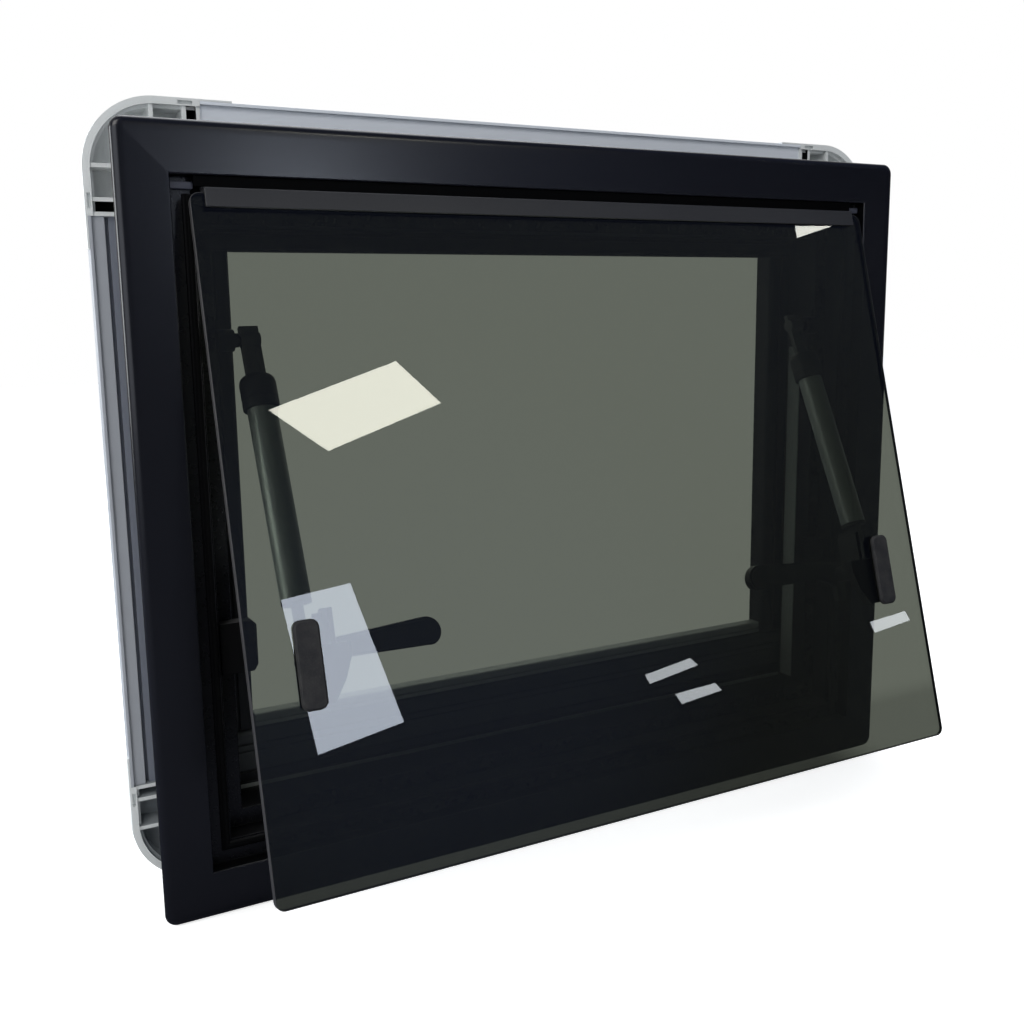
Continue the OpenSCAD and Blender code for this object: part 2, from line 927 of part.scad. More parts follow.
module collar(s) {
  hung(s)
    translate([0, 0, -collar_s - collar_h])
      difference() {
        union() {
          cylinder(r = collar_r, h = collar_h - cap_h);
          translate([0, 0, collar_h - cap_h])
            cylinder(r = collar_r - 2, h = cap_h);
        }
        translate([0, 0, -1])
          cylinder(r = tube_r, h = collar_h - cap_h + 1);
        cylinder(r = bore_r, h = big);
        translate([0, 0, collar_h / 4])
          difference() {
            cylinder(r = collar_r + 1, h = line_w);
            translate([0, 0, -1])
              cylinder(r = collar_r - line_w / 2, h = line_w + 2);
          }
      }
}

module collar_left() {
  color("#141416")
    collar(-1);
}

module collar_right() {
  color("#141416")
    collar(1);
}

module foot(s) {
  tang = 2 * pin_r;
  hung(s)
    translate([0, 0, -tube_s - cap_h + 1])
      union() {
        cylinder(r = tube_r, h = cap_h - 1);
        translate([0, 0, cap_h - 1])
          cylinder(r = bore_r, h = 1.5 * cap_h);
        translate([-tang / 2, -tang, -foot_l + cap_h - 1])
          cube([tang, 2 * tang, foot_l - cap_h + 1]);
        translate([-tang / 2, 0, -foot_l + cap_h - 1])
          rotate([0, 90, 0])
            cylinder(r = tang, h = tang);
      }
}

module foot_left() {
  color("#141416")
    foot(-1);
}

module foot_right() {
  color("#141416")
    foot(1);
}

outer_top();
outer_bottom();
outer_left();
outer_right();
sash_seal();
hinge_track();
ring_corner_tl();
ring_corner_tr();
ring_corner_bl();
ring_corner_br();
ring_top();
ring_bottom();
ring_left();
ring_right();
panel_top();
panel_bottom();
panel_left();
panel_right();
blind_bar();
keeper_left();
keeper_right();
bracket_left();
bracket_right();
glass_pane();
hinge_rail();
pad_left();
pad_right();
latch_left();
latch_right();
lever_left();
lever_right();
rod_left();
rod_right();
tube_left();
tube_right();
collar_left();
collar_right();
foot_left();
foot_right();
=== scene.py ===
"""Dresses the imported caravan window: rounded and finished pieces, a plain studio and the camera."""

import logging
import math
from dataclasses import dataclass, field
from enum import Enum
from functools import cache

import bmesh
import bpy
from mathutils import Matrix, Vector


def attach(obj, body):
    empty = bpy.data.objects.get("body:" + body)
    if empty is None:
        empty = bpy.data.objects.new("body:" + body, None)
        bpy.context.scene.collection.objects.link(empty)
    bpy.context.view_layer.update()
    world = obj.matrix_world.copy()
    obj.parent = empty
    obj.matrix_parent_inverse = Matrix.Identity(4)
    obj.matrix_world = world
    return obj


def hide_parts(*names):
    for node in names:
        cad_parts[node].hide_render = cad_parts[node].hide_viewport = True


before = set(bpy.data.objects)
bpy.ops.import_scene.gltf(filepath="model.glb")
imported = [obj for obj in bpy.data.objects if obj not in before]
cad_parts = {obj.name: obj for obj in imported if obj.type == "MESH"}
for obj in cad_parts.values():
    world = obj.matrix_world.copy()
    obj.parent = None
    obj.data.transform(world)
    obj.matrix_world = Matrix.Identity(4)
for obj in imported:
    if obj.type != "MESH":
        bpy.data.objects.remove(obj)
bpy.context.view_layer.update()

LOG = logging.getLogger("caravan_window")

Mesh = bmesh.types.BMesh
Socket = bpy.types.NodeSocket
Rgb = tuple[float, float, float]
Corner = tuple[float, float, float]
Points = list[tuple[float, float]]

# The colour sockets of a Mix node, whose names its number sockets share.
COLOUR_A, COLOUR_B, MIXED = 6, 7, 2

OPEN_ANGLE = math.radians(15.3)
HINGE = Vector((0.0, 0.001, 0.44625))
STAY_ANGLE = math.radians(25.631050)
STAY_TOP = Vector((0.226, 0.022, 0.35475))
STAY_LENGTH = 0.182340
MIDDLE_Z = 0.23425
PANE_FRONT = -0.0073
PANE_BACK = -0.0023
SIDES = (("left", -1.0), ("right", 1.0))

SASH = Matrix.Translation(HINGE) @ Matrix.Rotation(-OPEN_ANGLE, 4, "X") @ Matrix.Translation(-HINGE)
QUARTER = math.pi / 2


class Body(Enum):
    """The moving bodies of the window."""

    FRAME = "frame"
    SASH = "sash"
    LEVER = "lever_"
    ROD = "stay_rod_"
    TUBE = "stay_tube_"

    def of(self, side: str = "") -> str:
        """Returns the body's name, for one side where it has two."""
        return self.value + side if self.value.endswith("_") else self.value


class Along(Enum):
    """The axis a drawn or brushed surface runs along."""

    X = (0.0, 0.0, 0.0)
    Y = (0.0, 0.0, math.pi / 2)
    Z = (0.0, math.pi / 2, 0.0)


def stay_matrix(sign: float) -> Matrix:
    """Gives the place of a stay that is modelled hanging straight down from the origin.

    Args:
        sign: -1 for the left stay, 1 for the right one.

    Returns:
        The matrix that hangs it on its upper pivot at the angle of the open sash.
    """
    place = Vector((sign * STAY_TOP.x, STAY_TOP.y, STAY_TOP.z))
    return Matrix.Translation(place) @ Matrix.Rotation(-STAY_ANGLE, 4, "X")


# Node trees


class Bench:
    """Adds nodes to one node tree and joins them."""

    def __init__(self, tree: bpy.types.NodeTree) -> None:
        """Takes the tree to work in."""
        self.tree = tree

    def node(
        self, kind: str, inputs: dict[str | int, object] | None = None, **settings: object
    ) -> bpy.types.Node:
        """Adds a shader node.

        Args:
            kind: Its type, without the leading ShaderNode.
            inputs: What goes into its inputs, by name or number: a value, or a socket to join.
            settings: Its plain properties.

        Returns:
            The node.
        """
        node = self.tree.nodes.new("ShaderNode" + kind)
        for key, value in settings.items():
            setattr(node, key, value)
        for key, value in (inputs or {}).items():
            if isinstance(value, Socket):
                self.tree.links.new(value, node.inputs[key])
            else:
                node.inputs[key].default_value = value
        return node

    def math(self, operation: str, first: Socket, second: Socket | float = 0.0) -> Socket:
        """Adds a sum of one or two numbers and returns its result."""
        return self.node("Math", {0: first, 1: second}, operation=operation).outputs[0]

    def eased(self, value: Socket, low: Socket | float, high: Socket | float, top: float = 1.0) -> Socket:
        """Maps a value softly.

        Args:
            value: The value.
            low: Where the result is 0.
            high: Where it reaches its top.
            top: The top.

        Returns:
            The result's socket.
        """
        inputs = {"Value": value, "From Min": low, "From Max": high, "To Max": top}
        return self.node("MapRange", inputs, interpolation_type="SMOOTHSTEP").outputs["Result"]

    def blend(self, factor: Socket, first: Rgb | Socket, second: Rgb) -> Socket:
        """Mixes two colours by a mask.

        Args:
            factor: The mask.
            first: A colour, or the socket of one, where the mask is 0.
            second: The colour where it is 1.

        Returns:
            The mixed colour's socket.
        """
        start = first if isinstance(first, Socket) else (*first, 1.0)
        inputs = {"Factor": factor, COLOUR_A: start, COLOUR_B: (*second, 1.0)}
        return self.node("Mix", inputs, data_type="RGBA").outputs[MIXED]

    def choose(self, ray: Socket, other: Socket, chosen: Socket) -> Socket:
        """Lets a kind of ray choose between two shaders.

        Args:
            ray: Whether the ray is of that kind.
            other: The shader for other rays.
            chosen: The shader for that kind of ray.

        Returns:
            The chosen shader's socket.
        """
        return self.node("MixShader", {0: ray, 1: other, 2: chosen}).outputs[0]


class Group(Bench):
    """A shader node group that is built once and then placed in any material."""

    def __init__(self, name: str, inputs: dict[str, float | None], outputs: tuple[str, ...]) -> None:
        """Makes an empty group with its sockets.

        Args:
            name: The group's name.
            inputs: Default value by input name, None for a vector.
            outputs: Names of its values.
        """
        super().__init__(bpy.data.node_groups.new(name, "ShaderNodeTree"))
        sockets = self.tree.interface
        for key, value in inputs.items():
            kind = "NodeSocketVector" if value is None else "NodeSocketFloat"
            socket = sockets.new_socket(key, in_out="INPUT", socket_type=kind)
            if value is not None:
                socket.default_value = value
        for key in outputs:
            sockets.new_socket(key, in_out="OUTPUT", socket_type="NodeSocketFloat")
        self.given = self.tree.nodes.new("NodeGroupInput").outputs
        self.sink = self.tree.nodes.new("NodeGroupOutput")

    def finish(self, **results: Socket) -> bpy.types.NodeTree:
        """Joins the results to the group's outputs.

        Args:
            results: The results, by output name.

        Returns:
            The group.
        """
        for name, socket in results.items():
            self.tree.links.new(socket, self.sink.inputs[name])
        return self.tree


@cache
def grain_group() -> bpy.types.NodeTree:
    """Builds the fine grain of a coated or moulded surface.

    Returns:
        A group with a height and a soft value, both 0 to 1.
    """
    g = Group("surface_grain", {"Vector": None, "Scale": 900.0, "Pits": 0.5}, ("Height", "Value"))
    place, scale = g.given["Vector"], g.given["Scale"]
    noise = g.node("TexNoise", {"Vector": place, "Scale": scale, "Detail": 3.0})
    cells = g.node("TexVoronoi", {"Vector": place, "Scale": scale}, feature="SMOOTH_F1")
    soft = g.node("TexNoise", {"Vector": place, "Scale": g.math("MULTIPLY", scale, 0.12)})
    both = {"Factor": g.given["Pits"], "A": noise.outputs["Fac"], "B": cells.outputs["Distance"]}
    mix = g.node("Mix", both, data_type="FLOAT")
    return g.finish(Height=mix.outputs["Result"], Value=soft.outputs["Fac"])


@cache
def cloud_group() -> bpy.types.NodeTree:
    """Builds the soft blotches of handling and uneven coating.

    Returns:
        A group with a mask of 0 to 1, where Cover moves its threshold.
    """
    g = Group("soft_clouds", {"Vector": None, "Scale": 9.0, "Cover": 0.5, "Softness": 0.25}, ("Mask",))
    cover, softness = g.given["Cover"], g.given["Softness"]
    fixed = {"Detail": 5.0, "Roughness": 0.55}
    noise = g.node("TexNoise", {"Vector": g.given["Vector"], "Scale": g.given["Scale"], **fixed})
    low, high = g.math("SUBTRACT", cover, softness), g.math("ADD", cover, softness)
    return g.finish(Mask=g.eased(noise.outputs["Fac"], low, high))


@cache
def dust_group() -> bpy.types.NodeTree:
    """Builds fine dust, thicker on what faces up.

    Returns:
        A group with a mask of 0 to 1.
    """
    g = Group("fine_dust", {"Vector": None, "Normal": None, "Amount": 0.2, "Specks": 700.0}, ("Mask",))
    split = g.node("SeparateXYZ", {0: g.given["Normal"]})
    up = g.node("MapRange", {"Value": split.outputs["Z"], "From Min": -0.2, "To Min": 0.35})
    speck = g.node("TexNoise", {"Vector": g.given["Vector"], "Scale": g.given["Specks"], "Detail": 2.0})
    bite = g.eased(speck.outputs["Fac"], 0.46, 0.72)
    both = g.math("MULTIPLY", up.outputs["Result"], bite)
    out = g.node("Math", {0: both, 1: g.given["Amount"]}, operation="MULTIPLY", use_clamp=True)
    return g.finish(Mask=out.outputs[0])


@cache
def draw_group() -> bpy.types.NodeTree:
    """Builds the long fine lines that a die leaves on a drawn or brushed profile.

    Returns:
        A group with a height and a value, both 0 to 1; the lines run along the vector's X.
    """
    g = Group("drawn_lines", {"Vector": None, "Scale": 1400.0, "Stretch": 0.01}, ("Height", "Value"))
    stretch = g.node("CombineXYZ", {"X": g.given["Stretch"], "Y": 1.0, "Z": 1.0}).outputs[0]
    squeeze = g.node("VectorMath", {0: g.given["Vector"], 1: stretch}, operation="MULTIPLY").outputs[0]
    fine = g.node("TexNoise", {"Vector": squeeze, "Scale": g.given["Scale"], "Detail": 2.0})
    broad = g.node("TexNoise", {"Vector": squeeze, "Scale": g.math("MULTIPLY", g.given["Scale"], 0.15)})
    return g.finish(Height=fine.outputs["Fac"], Value=broad.outputs["Fac"])


# Finishes


class Dressing(Bench):
    """Node building that every finish shares."""

    def __init__(self, name: str) -> None:
        """Makes a material that holds a shader and object coordinates.

        Args:
            name: The material's name.
        """
        self.material = bpy.data.materials.new(name)
        self.material.use_nodes = True
        super().__init__(self.material.node_tree)
        self.tree.nodes.clear()
        self.shader = self.node("BsdfPrincipled")
        self.place = self.node("TexCoord").outputs
        self.node("OutputMaterial", {"Surface": self.shader.outputs["BSDF"]})

    def group(self, tree: bpy.types.NodeTree, **values: float) -> bpy.types.Node:
        """Places a shader group on object coordinates.

        Args:
            tree: The group.
            values: Values of its inputs, by name.

        Returns:
            The group node.
        """
        node = self.node("Group", {"Vector": self.place["Object"], **values}, node_tree=tree)
        if "Normal" in node.inputs:
            self.tree.links.new(self.place["Normal"], node.inputs["Normal"])
        return node

    def turned(self, node: bpy.types.Node, along: Along) -> None:
        """Turns the pattern of a group so that it runs along an axis."""
        mapping = self.node("Mapping", {"Vector": self.place["Object"], "Rotation": along.value})
        self.tree.links.new(mapping.outputs["Vector"], node.inputs["Vector"])

    def rough(self, value: Socket, span: tuple[float, float]) -> None:
        """Maps a value of 0 to 1 to a span of roughness."""
        ramp = self.node("MapRange", {"Value": value, "To Min": span[0], "To Max": span[1]})
        self.tree.links.new(ramp.outputs["Result"], self.shader.inputs["Roughness"])

    def surface(self, colour: Socket, height: Socket, depth: float) -> None:
        """Gives the shader its colour and raises it by a height pattern.

        Args:
            colour: The colour.
            height: The pattern, 0 to 1.
            depth: Its depth, in metres.
        """
        bump = self.node("Bump", {"Distance": depth, "Strength": 1.0, "Height": height})
        self.tree.links.new(colour, self.shader.inputs["Base Color"])
        self.tree.links.new(bump.outputs["Normal"], self.shader.inputs["Normal"])

    def settle(self, **values: object) -> None:
        """Sets plain values on the shader's sockets; underscores stand for spaces."""
        for key, value in values.items():
            self.shader.inputs[key.replace("_", " ")].default_value = value


@dataclass(frozen=True)
class CoatedProfile:
    """Powder coated or satin lacquered aluminium, with fine grain, soft blotches and a trace of dust."""

    name: str
    colour: Rgb
    shade: Rgb
    dust: Rgb = (0.2, 0.2, 0.2)
    dust_amount: float = 0.12
    rough: tuple[float, float] = (0.34, 0.44)
    grain: float = 2200.0
    depth: float = 0.00002
    specular: float = 0.5
    pits: float = 0.35
    cloud: float = 7.0
    cover: float = 0.5
    softness: float = 0.3
    specks: float = 900.0

    def build(self) -> bpy.types.Material:
        """Returns the material."""
        d = Dressing(self.name)
        grain = d.group(grain_group(), Scale=self.grain, Pits=self.pits)
        cloud = d.group(cloud_group(), Scale=self.cloud, Cover=self.cover, Softness=self.softness)
        dust = d.group(dust_group(), Amount=self.dust_amount, Specks=self.specks)
        colour = d.blend(cloud.outputs["Mask"], self.colour, self.shade)
        d.surface(d.blend(dust.outputs["Mask"], colour, self.dust), grain.outputs["Height"], self.depth)
        d.rough(grain.outputs["Value"], self.rough)
        d.settle(Specular_IOR_Level=self.specular)
        return d.material


@dataclass(frozen=True)
class MouldedPlastic(CoatedProfile):
    """Moulded plastic with a coarser texture and smaller blotches."""

    dust: Rgb = (0.25, 0.25, 0.24)
    dust_amount: float = 0.15
    rough: tuple[float, float] = (0.45, 0.6)
    grain: float = 1600.0
    depth: float = 0.00004
    pits: float = 0.6
    cloud: float = 26.0
    cover: float = 0.52
    softness: float = 0.22
    specks: float = 1300.0


@dataclass(frozen=True)
class DrawnMetal:
    """Bare, anodised or coated metal with fine lines along its length."""

    name: str
    colour: Rgb
    shade: Rgb
    along: Along = Along.X
    metallic: float = 1.0
    rough: tuple[float, float] = (0.28, 0.4)
    depth: float = 0.00001

    def build(self) -> bpy.types.Material:
        """Returns the material."""
        d = Dressing(self.name)
        lines = d.group(draw_group(), Scale=1500.0, Stretch=0.012)
        d.turned(lines, self.along)
        cloud = d.group(cloud_group(), Scale=14.0, Cover=0.5, Softness=0.35)
        colour = d.blend(lines.outputs["Value"], self.colour, self.shade)
        d.surface(colour, lines.outputs["Height"], self.depth)
        d.rough(cloud.outputs["Mask"], self.rough)
        d.settle(Metallic=self.metallic)
        return d.material


@dataclass(frozen=True)
class SealRubber:
    """Matt black sealing rubber with a trace of bloom."""

    name: str
    colour: Rgb
    bloom: Rgb

    def build(self) -> bpy.types.Material:
        """Returns the material."""
        d = Dressing(self.name)
        grain = d.group(grain_group(), Scale=1100.0, Pits=0.2)
        cloud = d.group(cloud_group(), Scale=38.0, Cover=0.6, Softness=0.2)
        colour = d.blend(cloud.outputs["Mask"], self.colour, self.bloom)
        d.surface(colour, grain.outputs["Height"], 0.00002)
        d.rough(grain.outputs["Value"], (0.42, 0.6))
        d.settle(Specular_IOR_Level=0.1)
        return d.material


@dataclass(frozen=True)
class TintedGlass:
    """Grey-green tempered glass, with a faint smear of handling on its faces."""

    name: str
    tint: Rgb
    smear: float = 0.012

    def build(self) -> bpy.types.Material:
        """Returns the material."""
        d = Dressing(self.name)
        smear = d.group(cloud_group(), Scale=11.0, Cover=0.62, Softness=0.16)
        d.rough(smear.outputs["Mask"], (0.0, self.smear))
        d.settle(Base_Color=(*self.tint, 1.0), Transmission_Weight=1.0, IOR=1.5, Metallic=0.0)
        return d.material


@dataclass(frozen=True)
class GroundEdge:
    """The ground and polished edge of the pane."""

    name: str
    colour: Rgb
    shade: Rgb

    def build(self) -> bpy.types.Material:
        """Returns the material."""
        d = Dressing(self.name)
        grain = d.group(grain_group(), Scale=2600.0, Pits=0.4)
        cloud = d.group(cloud_group(), Scale=30.0, Cover=0.5, Softness=0.3)
        colour = d.blend(cloud.outputs["Mask"], self.colour, self.shade)
        d.surface(colour, grain.outputs["Height"], 0.00001)
        d.rough(grain.outputs["Value"], (0.30, 0.44))
        return d.material


class Finishes:
    """Every finish of the window, each built on first use."""

    FLANGE = CoatedProfile(
        "black_powder_coat", (0.0031, 0.0034, 0.0060), (0.0043, 0.0046, 0.0074), rough=(0.22, 0.27),
        dust_amount=0.0, depth=0.0000015,
    )
    # Painted shade: a darker copy of the black coat for the recess's inward walls, the side rails' outer edge
    # and the stay brackets.
    BLACK_PAINTED_SHADE = CoatedProfile(
        "black_coat_painted_shade", (0.0008, 0.0008, 0.0012), (0.0013, 0.0013, 0.0019), rough=(0.30, 0.40),
        dust_amount=0.01, depth=0.000006, specular=0.16,
    )
    # Painted light: a lighter copy of the recess coat for the front faces of the ledge and the step.
    LEDGE = CoatedProfile(
        "black_ledge_coat_painted_light", (0.0034, 0.0035, 0.0052), (0.0048, 0.0049, 0.0068), rough=(0.24, 0.32),
        dust_amount=0.0, depth=0.000003, specular=0.32,
    )
    # Black track plastic, darkened further as painted shade of the hinge gap.
    TRACK = CoatedProfile(
        "black_track_coat_painted_shade", (0.0006, 0.0006, 0.0008), (0.0009, 0.0009, 0.0011), rough=(0.5, 0.6),
        dust_amount=0.0, depth=0.000004, specular=0.06,
    )
    RAIL = CoatedProfile(
        "dark_grey_coat", (0.0200, 0.0205, 0.0230), (0.027, 0.0275, 0.030), rough=(0.32, 0.42), dust_amount=0.04,
        depth=0.00001,
    )
    CORNER = MouldedPlastic(
        "light_grey_moulding", (0.79, 0.82, 0.82), (0.84, 0.865, 0.865), rough=(0.42, 0.55),
        dust_amount=0.1, cloud=18.0,
    )
    # Painted light: the top and bottom profiles take a lighter copy of the grey than the uprights.
    PROFILE_PAINTED_LIGHT = DrawnMetal(
        "grey_profile_painted_light", (0.80, 0.85, 0.93), (0.86, 0.91, 0.98), Along.X, 0.0, (0.30, 0.42),
    )
    # Painted shade: the uprights take a darker copy of the same grey.
    UPRIGHT_PAINTED_SHADE = DrawnMetal(
        "grey_upright_painted_shade", (0.43, 0.455, 0.50), (0.48, 0.505, 0.55), Along.Z, 0.0, (0.30, 0.42),
    )
    # Painted shade: a still darker copy for the uprights' band past the groove.
    UPRIGHT_DEEP_PAINTED_SHADE = DrawnMetal(
        "grey_upright_painted_deep_shade", (0.20, 0.22, 0.27), (0.24, 0.26, 0.31), Along.Z, 0.0, (0.30, 0.42),
    )
    PANEL = MouldedPlastic(
        "dark_inner_moulding", (0.0022, 0.0028, 0.0042), (0.0036, 0.0043, 0.0060), dust_amount=0.015,
    )
    BAND = MouldedPlastic(
        "grey_inner_band", (0.022, 0.026, 0.029), (0.030, 0.034, 0.037), dust_amount=0.03,
    )
    BAR = DrawnMetal("pull_bar_anodised", (0.30, 0.31, 0.31), (0.36, 0.37, 0.37), Along.X, 0.2)
    NYLON = MouldedPlastic(
        "black_nylon", (0.011, 0.0112, 0.012), (0.016, 0.016, 0.017), rough=(0.42, 0.56), dust_amount=0.08,
    )
    KEEPER = MouldedPlastic(
        "black_keeper_nylon", (0.0016, 0.0016, 0.0019), (0.0026, 0.0026, 0.0029), rough=(0.5, 0.62),
        dust_amount=0.0, specular=0.14,
    )
    # Painted highlight: the end stop's blue-grey stands in for a bluish glint in the recess's upper corner.
    STOP_PAINTED_HIGHLIGHT = MouldedPlastic(
        "blue_grey_end_stop_painted_highlight", (0.036, 0.040, 0.060), (0.058, 0.063, 0.090), rough=(0.35, 0.5), dust_amount=0.05,
        cloud=60.0,
    )
    # Painted shade: a darker copy of the corner grey for the pockets of the lower corners.
    SHADED = MouldedPlastic(
        "grey_moulding_painted_shade", (0.37, 0.405, 0.43), (0.42, 0.455, 0.48), rough=(0.45, 0.58), dust_amount=0.1,
        cloud=18.0,
    )
    # Painted shadow: near black for the last pocket of the upper corners.
    CAVITY = MouldedPlastic(
        "shadowed_pocket", (0.006, 0.007, 0.007), (0.009, 0.010, 0.010), rough=(0.6, 0.7), dust_amount=0.0,
        specular=0.2,
    )
    COVER = MouldedPlastic(
        "handled_black_cover", (0.0068, 0.0068, 0.0078), (0.021, 0.020, 0.019), dust=(0.06, 0.058, 0.052),
        dust_amount=0.34, rough=(0.55, 0.74), grain=900.0, depth=0.00006, cloud=110.0,
    )
    ROD = DrawnMetal("dark_coated_rod", (0.095, 0.095, 0.094), (0.125, 0.125, 0.122), Along.Z, 0.3)
    TUBE = DrawnMetal(
        "grey_anodised_tube", (0.42, 0.45, 0.44), (0.49, 0.52, 0.51), Along.Z, 0.3, (0.32, 0.44),
    )
    STEEL_DARK = DrawnMetal(
        "black_zinc_steel", (0.045, 0.045, 0.047), (0.06, 0.06, 0.06), Along.Y, 0.7, (0.3, 0.42),
    )
    RUBBER = SealRubber("seal_rubber", (0.0012, 0.0012, 0.0015), (0.0020, 0.0020, 0.0024))
    GLASS = TintedGlass("tinted_glass", (0.124, 0.137, 0.112))
    EDGE = GroundEdge("ground_glass_edge", (0.028, 0.027, 0.028), (0.042, 0.040, 0.041))

    built: dict[str, bpy.types.Material] = {}

    @classmethod
    def get(cls, finish: object) -> bpy.types.Material:
        """Returns the material of a finish."""
        if finish.name not in cls.built:
            cls.built[finish.name] = finish.build()
        return cls.built[finish.name]


# Workshop


@dataclass
class Workshop:
    """Makes objects from meshes, dresses them and lets them ride."""

    smooth: float = math.radians(32.0)
    sharp: float = math.radians(22.0)
    flat: float = math.radians(0.4)
    turns: int = 72
    count: int = 0

    def piece(
        self, bm: Mesh, name: str, finish: object, body: str,
        nodes: tuple[str, ...] = (), place: Matrix | None = None, second: object | None = None,
        third: object | None = None,
    ) -> bpy.types.Object:
        """Turns a bmesh into a finished piece.

        Args:
            bm: The mesh; it is freed.
            name: The piece's name.
            finish: Its finish.
            body: The body it rides on.
            nodes: CAD nodes it stands for.
            place: A matrix that moves the mesh to its place.
            second: The finish of faces with material index 1.
            third: The finish of faces with material index 2.

        Returns:
            The new object.
        """
        if place is not None:
            bmesh.ops.transform(bm, matrix=place, verts=bm.verts[:])
            if place.determinant() < 0:
                bmesh.ops.reverse_faces(bm, faces=bm.faces[:])
        for face in bm.faces:
            face.smooth = True
        mesh = bpy.data.meshes.new(name)
        bm.to_mesh(mesh)
        bm.free()
        mesh.set_sharp_from_angle(angle=self.smooth)
        obj = bpy.data.objects.new(name, mesh)
        bpy.context.scene.collection.objects.link(obj)
        for choice in (finish, second, third):
            if choice is not None:
                mesh.materials.append(Finishes.get(choice))
        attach(obj, body)
        weigh = obj.modifiers.new("face_weighted", "WEIGHTED_NORMAL")
        weigh.mode = "FACE_AREA"
        weigh.weight = 100
        weigh.keep_sharp = True
        if nodes:
            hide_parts(*nodes)
        self.count += 1
        LOG.info("%s: %d faces, on %s", name, len(mesh.polygons), body)
        return obj

    def rounded(self, node: str, width: float, segments: int = 2) -> Mesh:
        """Copies a CAD node's mesh, merged, with its edges rounded.

        Args:
            node: The CAD node.
            width: Width of the rounding, in metres.
            segments: Segments of the rounding.

        Returns:
            The rounded mesh in its place.
        """
        bm = bmesh.new()
        bm.from_mesh(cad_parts[node].data)
        bmesh.ops.remove_doubles(bm, verts=bm.verts[:], dist=2e-6)
        bmesh.ops.dissolve_limit(
            bm, angle_limit=self.flat, verts=bm.verts[:], edges=bm.edges[:], delimit=set(),
        )
        self.soften(bm, width, segments)
        return bm

    def dress(
        self, node: str, name: str, finish: object, body: str, width: float, segments: int = 2,
    ) -> None:
        """Rounds a CAD node's mesh and makes it the finished piece that replaces the node.

        Args:
            node: The CAD node.
            name: The piece's name.
            finish: Its finish.
            body: The body it rides on.
            width: Width of the rounding, in metres.
            segments: Segments of the rounding.
        """
        self.piece(self.rounded(node, width, segments), name, finish, body, (node,))

    def soften(self, bm: Mesh, width: float, segments: int = 2) -> None:
        """Rounds every sharp edge of a mesh."""
        edges = [e for e in bm.edges if len(e.link_faces) == 2 and e.calc_face_angle(0.0) > self.sharp]
        bmesh.ops.bevel(
            bm, geom=edges, offset=width, offset_type="OFFSET", segments=segments, profile=0.5,
            affect="EDGES", clamp_overlap=True, material=-1, loop_slide=True,
        )

    def block(self, low: Corner, high: Corner, width: float) -> Mesh:
        """Makes a rounded block between two corners.

        Args:
            low: The lowest corner.
            high: The highest corner.
            width: Rounding of its edges.

        Returns:
            The mesh.
        """
        bm = bmesh.new()
        bmesh.ops.create_cube(bm, size=1.0)
        size = Vector(high) - Vector(low)
        bmesh.ops.scale(bm, vec=size, verts=bm.verts[:])
        bmesh.ops.translate(bm, vec=(Vector(high) + Vector(low)) / 2, verts=bm.verts[:])
        self.soften(bm, width)
        return bm

    def turning(self, outline: Points) -> Mesh:
        """Turns an outline round the Z axis.

        Args:
            outline: Radius and height of its points, in order, none on the axis.

        Returns:
            A closed mesh.
        """
        bm = bmesh.new()
        verts = [bm.verts.new((r, 0.0, z)) for r, z in outline]
        edges = [bm.edges.new(pair) for pair in zip(verts, verts[1:] + verts[:1])]
        bmesh.ops.spin(
            bm, geom=verts + edges, cent=(0, 0, 0), axis=(0, 0, 1), angle=2 * math.pi, steps=self.turns,
            use_merge=True,
        )
        bmesh.ops.remove_doubles(bm, verts=bm.verts[:], dist=1e-7)
        bmesh.ops.recalc_face_normals(bm, faces=bm.faces[:])
        return bm

    def mitred(self, section: Points, half_w: float, half_h: float, middle: float) -> Mesh:
        """Runs a section round an upright rectangle with mitred corners.

        Args:
            section: Points of the section: distance outwards of the rectangle, and depth along Y.
            half_w: Half the rectangle's width.
            half_h: Half its height.
            middle: Height of its middle.

        Returns:
            A closed mesh.
        """
        bm = bmesh.new()
        rows = [
            [bm.verts.new((x * (half_w + out), y, middle + z * (half_h + out))) for out, y in section]
            for x, z in ((-1, -1), (1, -1), (1, 1), (-1, 1))
        ]
        for corner in range(4):
            row, after = rows[corner - 1], rows[corner]
            for i in range(len(section)):
                bm.faces.new((row[i - 1], row[i], after[i], after[i - 1]))
        bmesh.ops.recalc_face_normals(bm, faces=bm.faces[:])
        return bm

    def strip(self, outline: Points, length: float) -> Mesh:
        """Extrudes a closed outline of depth and height along X.

        Args:
            outline: Y and Z of its points.
            length: Length along X, centred.

        Returns:
            A closed mesh.
        """
        bm = bmesh.new()
        verts = [bm.verts.new((-length / 2, y, z)) for y, z in outline]
        face = bm.faces.new(verts)
        done = bmesh.ops.extrude_face_region(bm, geom=[face])
        moved = [g for g in done["geom"] if isinstance(g, bmesh.types.BMVert)]
        bmesh.ops.translate(bm, vec=(length, 0, 0), verts=moved)
        bmesh.ops.recalc_face_normals(bm, faces=bm.faces[:])
        return bm

    def join(self, parts: list[Mesh]) -> Mesh:
        """Joins meshes into one.

        Args:
            parts: The meshes; all but the first are freed.

        Returns:
            The first mesh, with the others in it.
        """
        first = parts[0]
        for part in parts[1:]:
            mesh = bpy.data.meshes.new("joining")
            part.to_mesh(mesh)
            part.free()
            first.from_mesh(mesh)
            bpy.data.meshes.remove(mesh)
        return first

    def moved(self, bm: Mesh, matrix: Matrix) -> Mesh:
        """Moves a mesh by a matrix and returns it."""
        bmesh.ops.transform(bm, matrix=matrix, verts=bm.verts[:])
        return bm


SHOP = Workshop()


def facing(direction: Vector, place: Vector) -> Matrix:
    """Gives the matrix that turns +Z to a direction and moves the origin to a place."""
    return Matrix.Translation(place) @ direction.to_track_quat("Z", "Y").to_matrix().to_4x4()


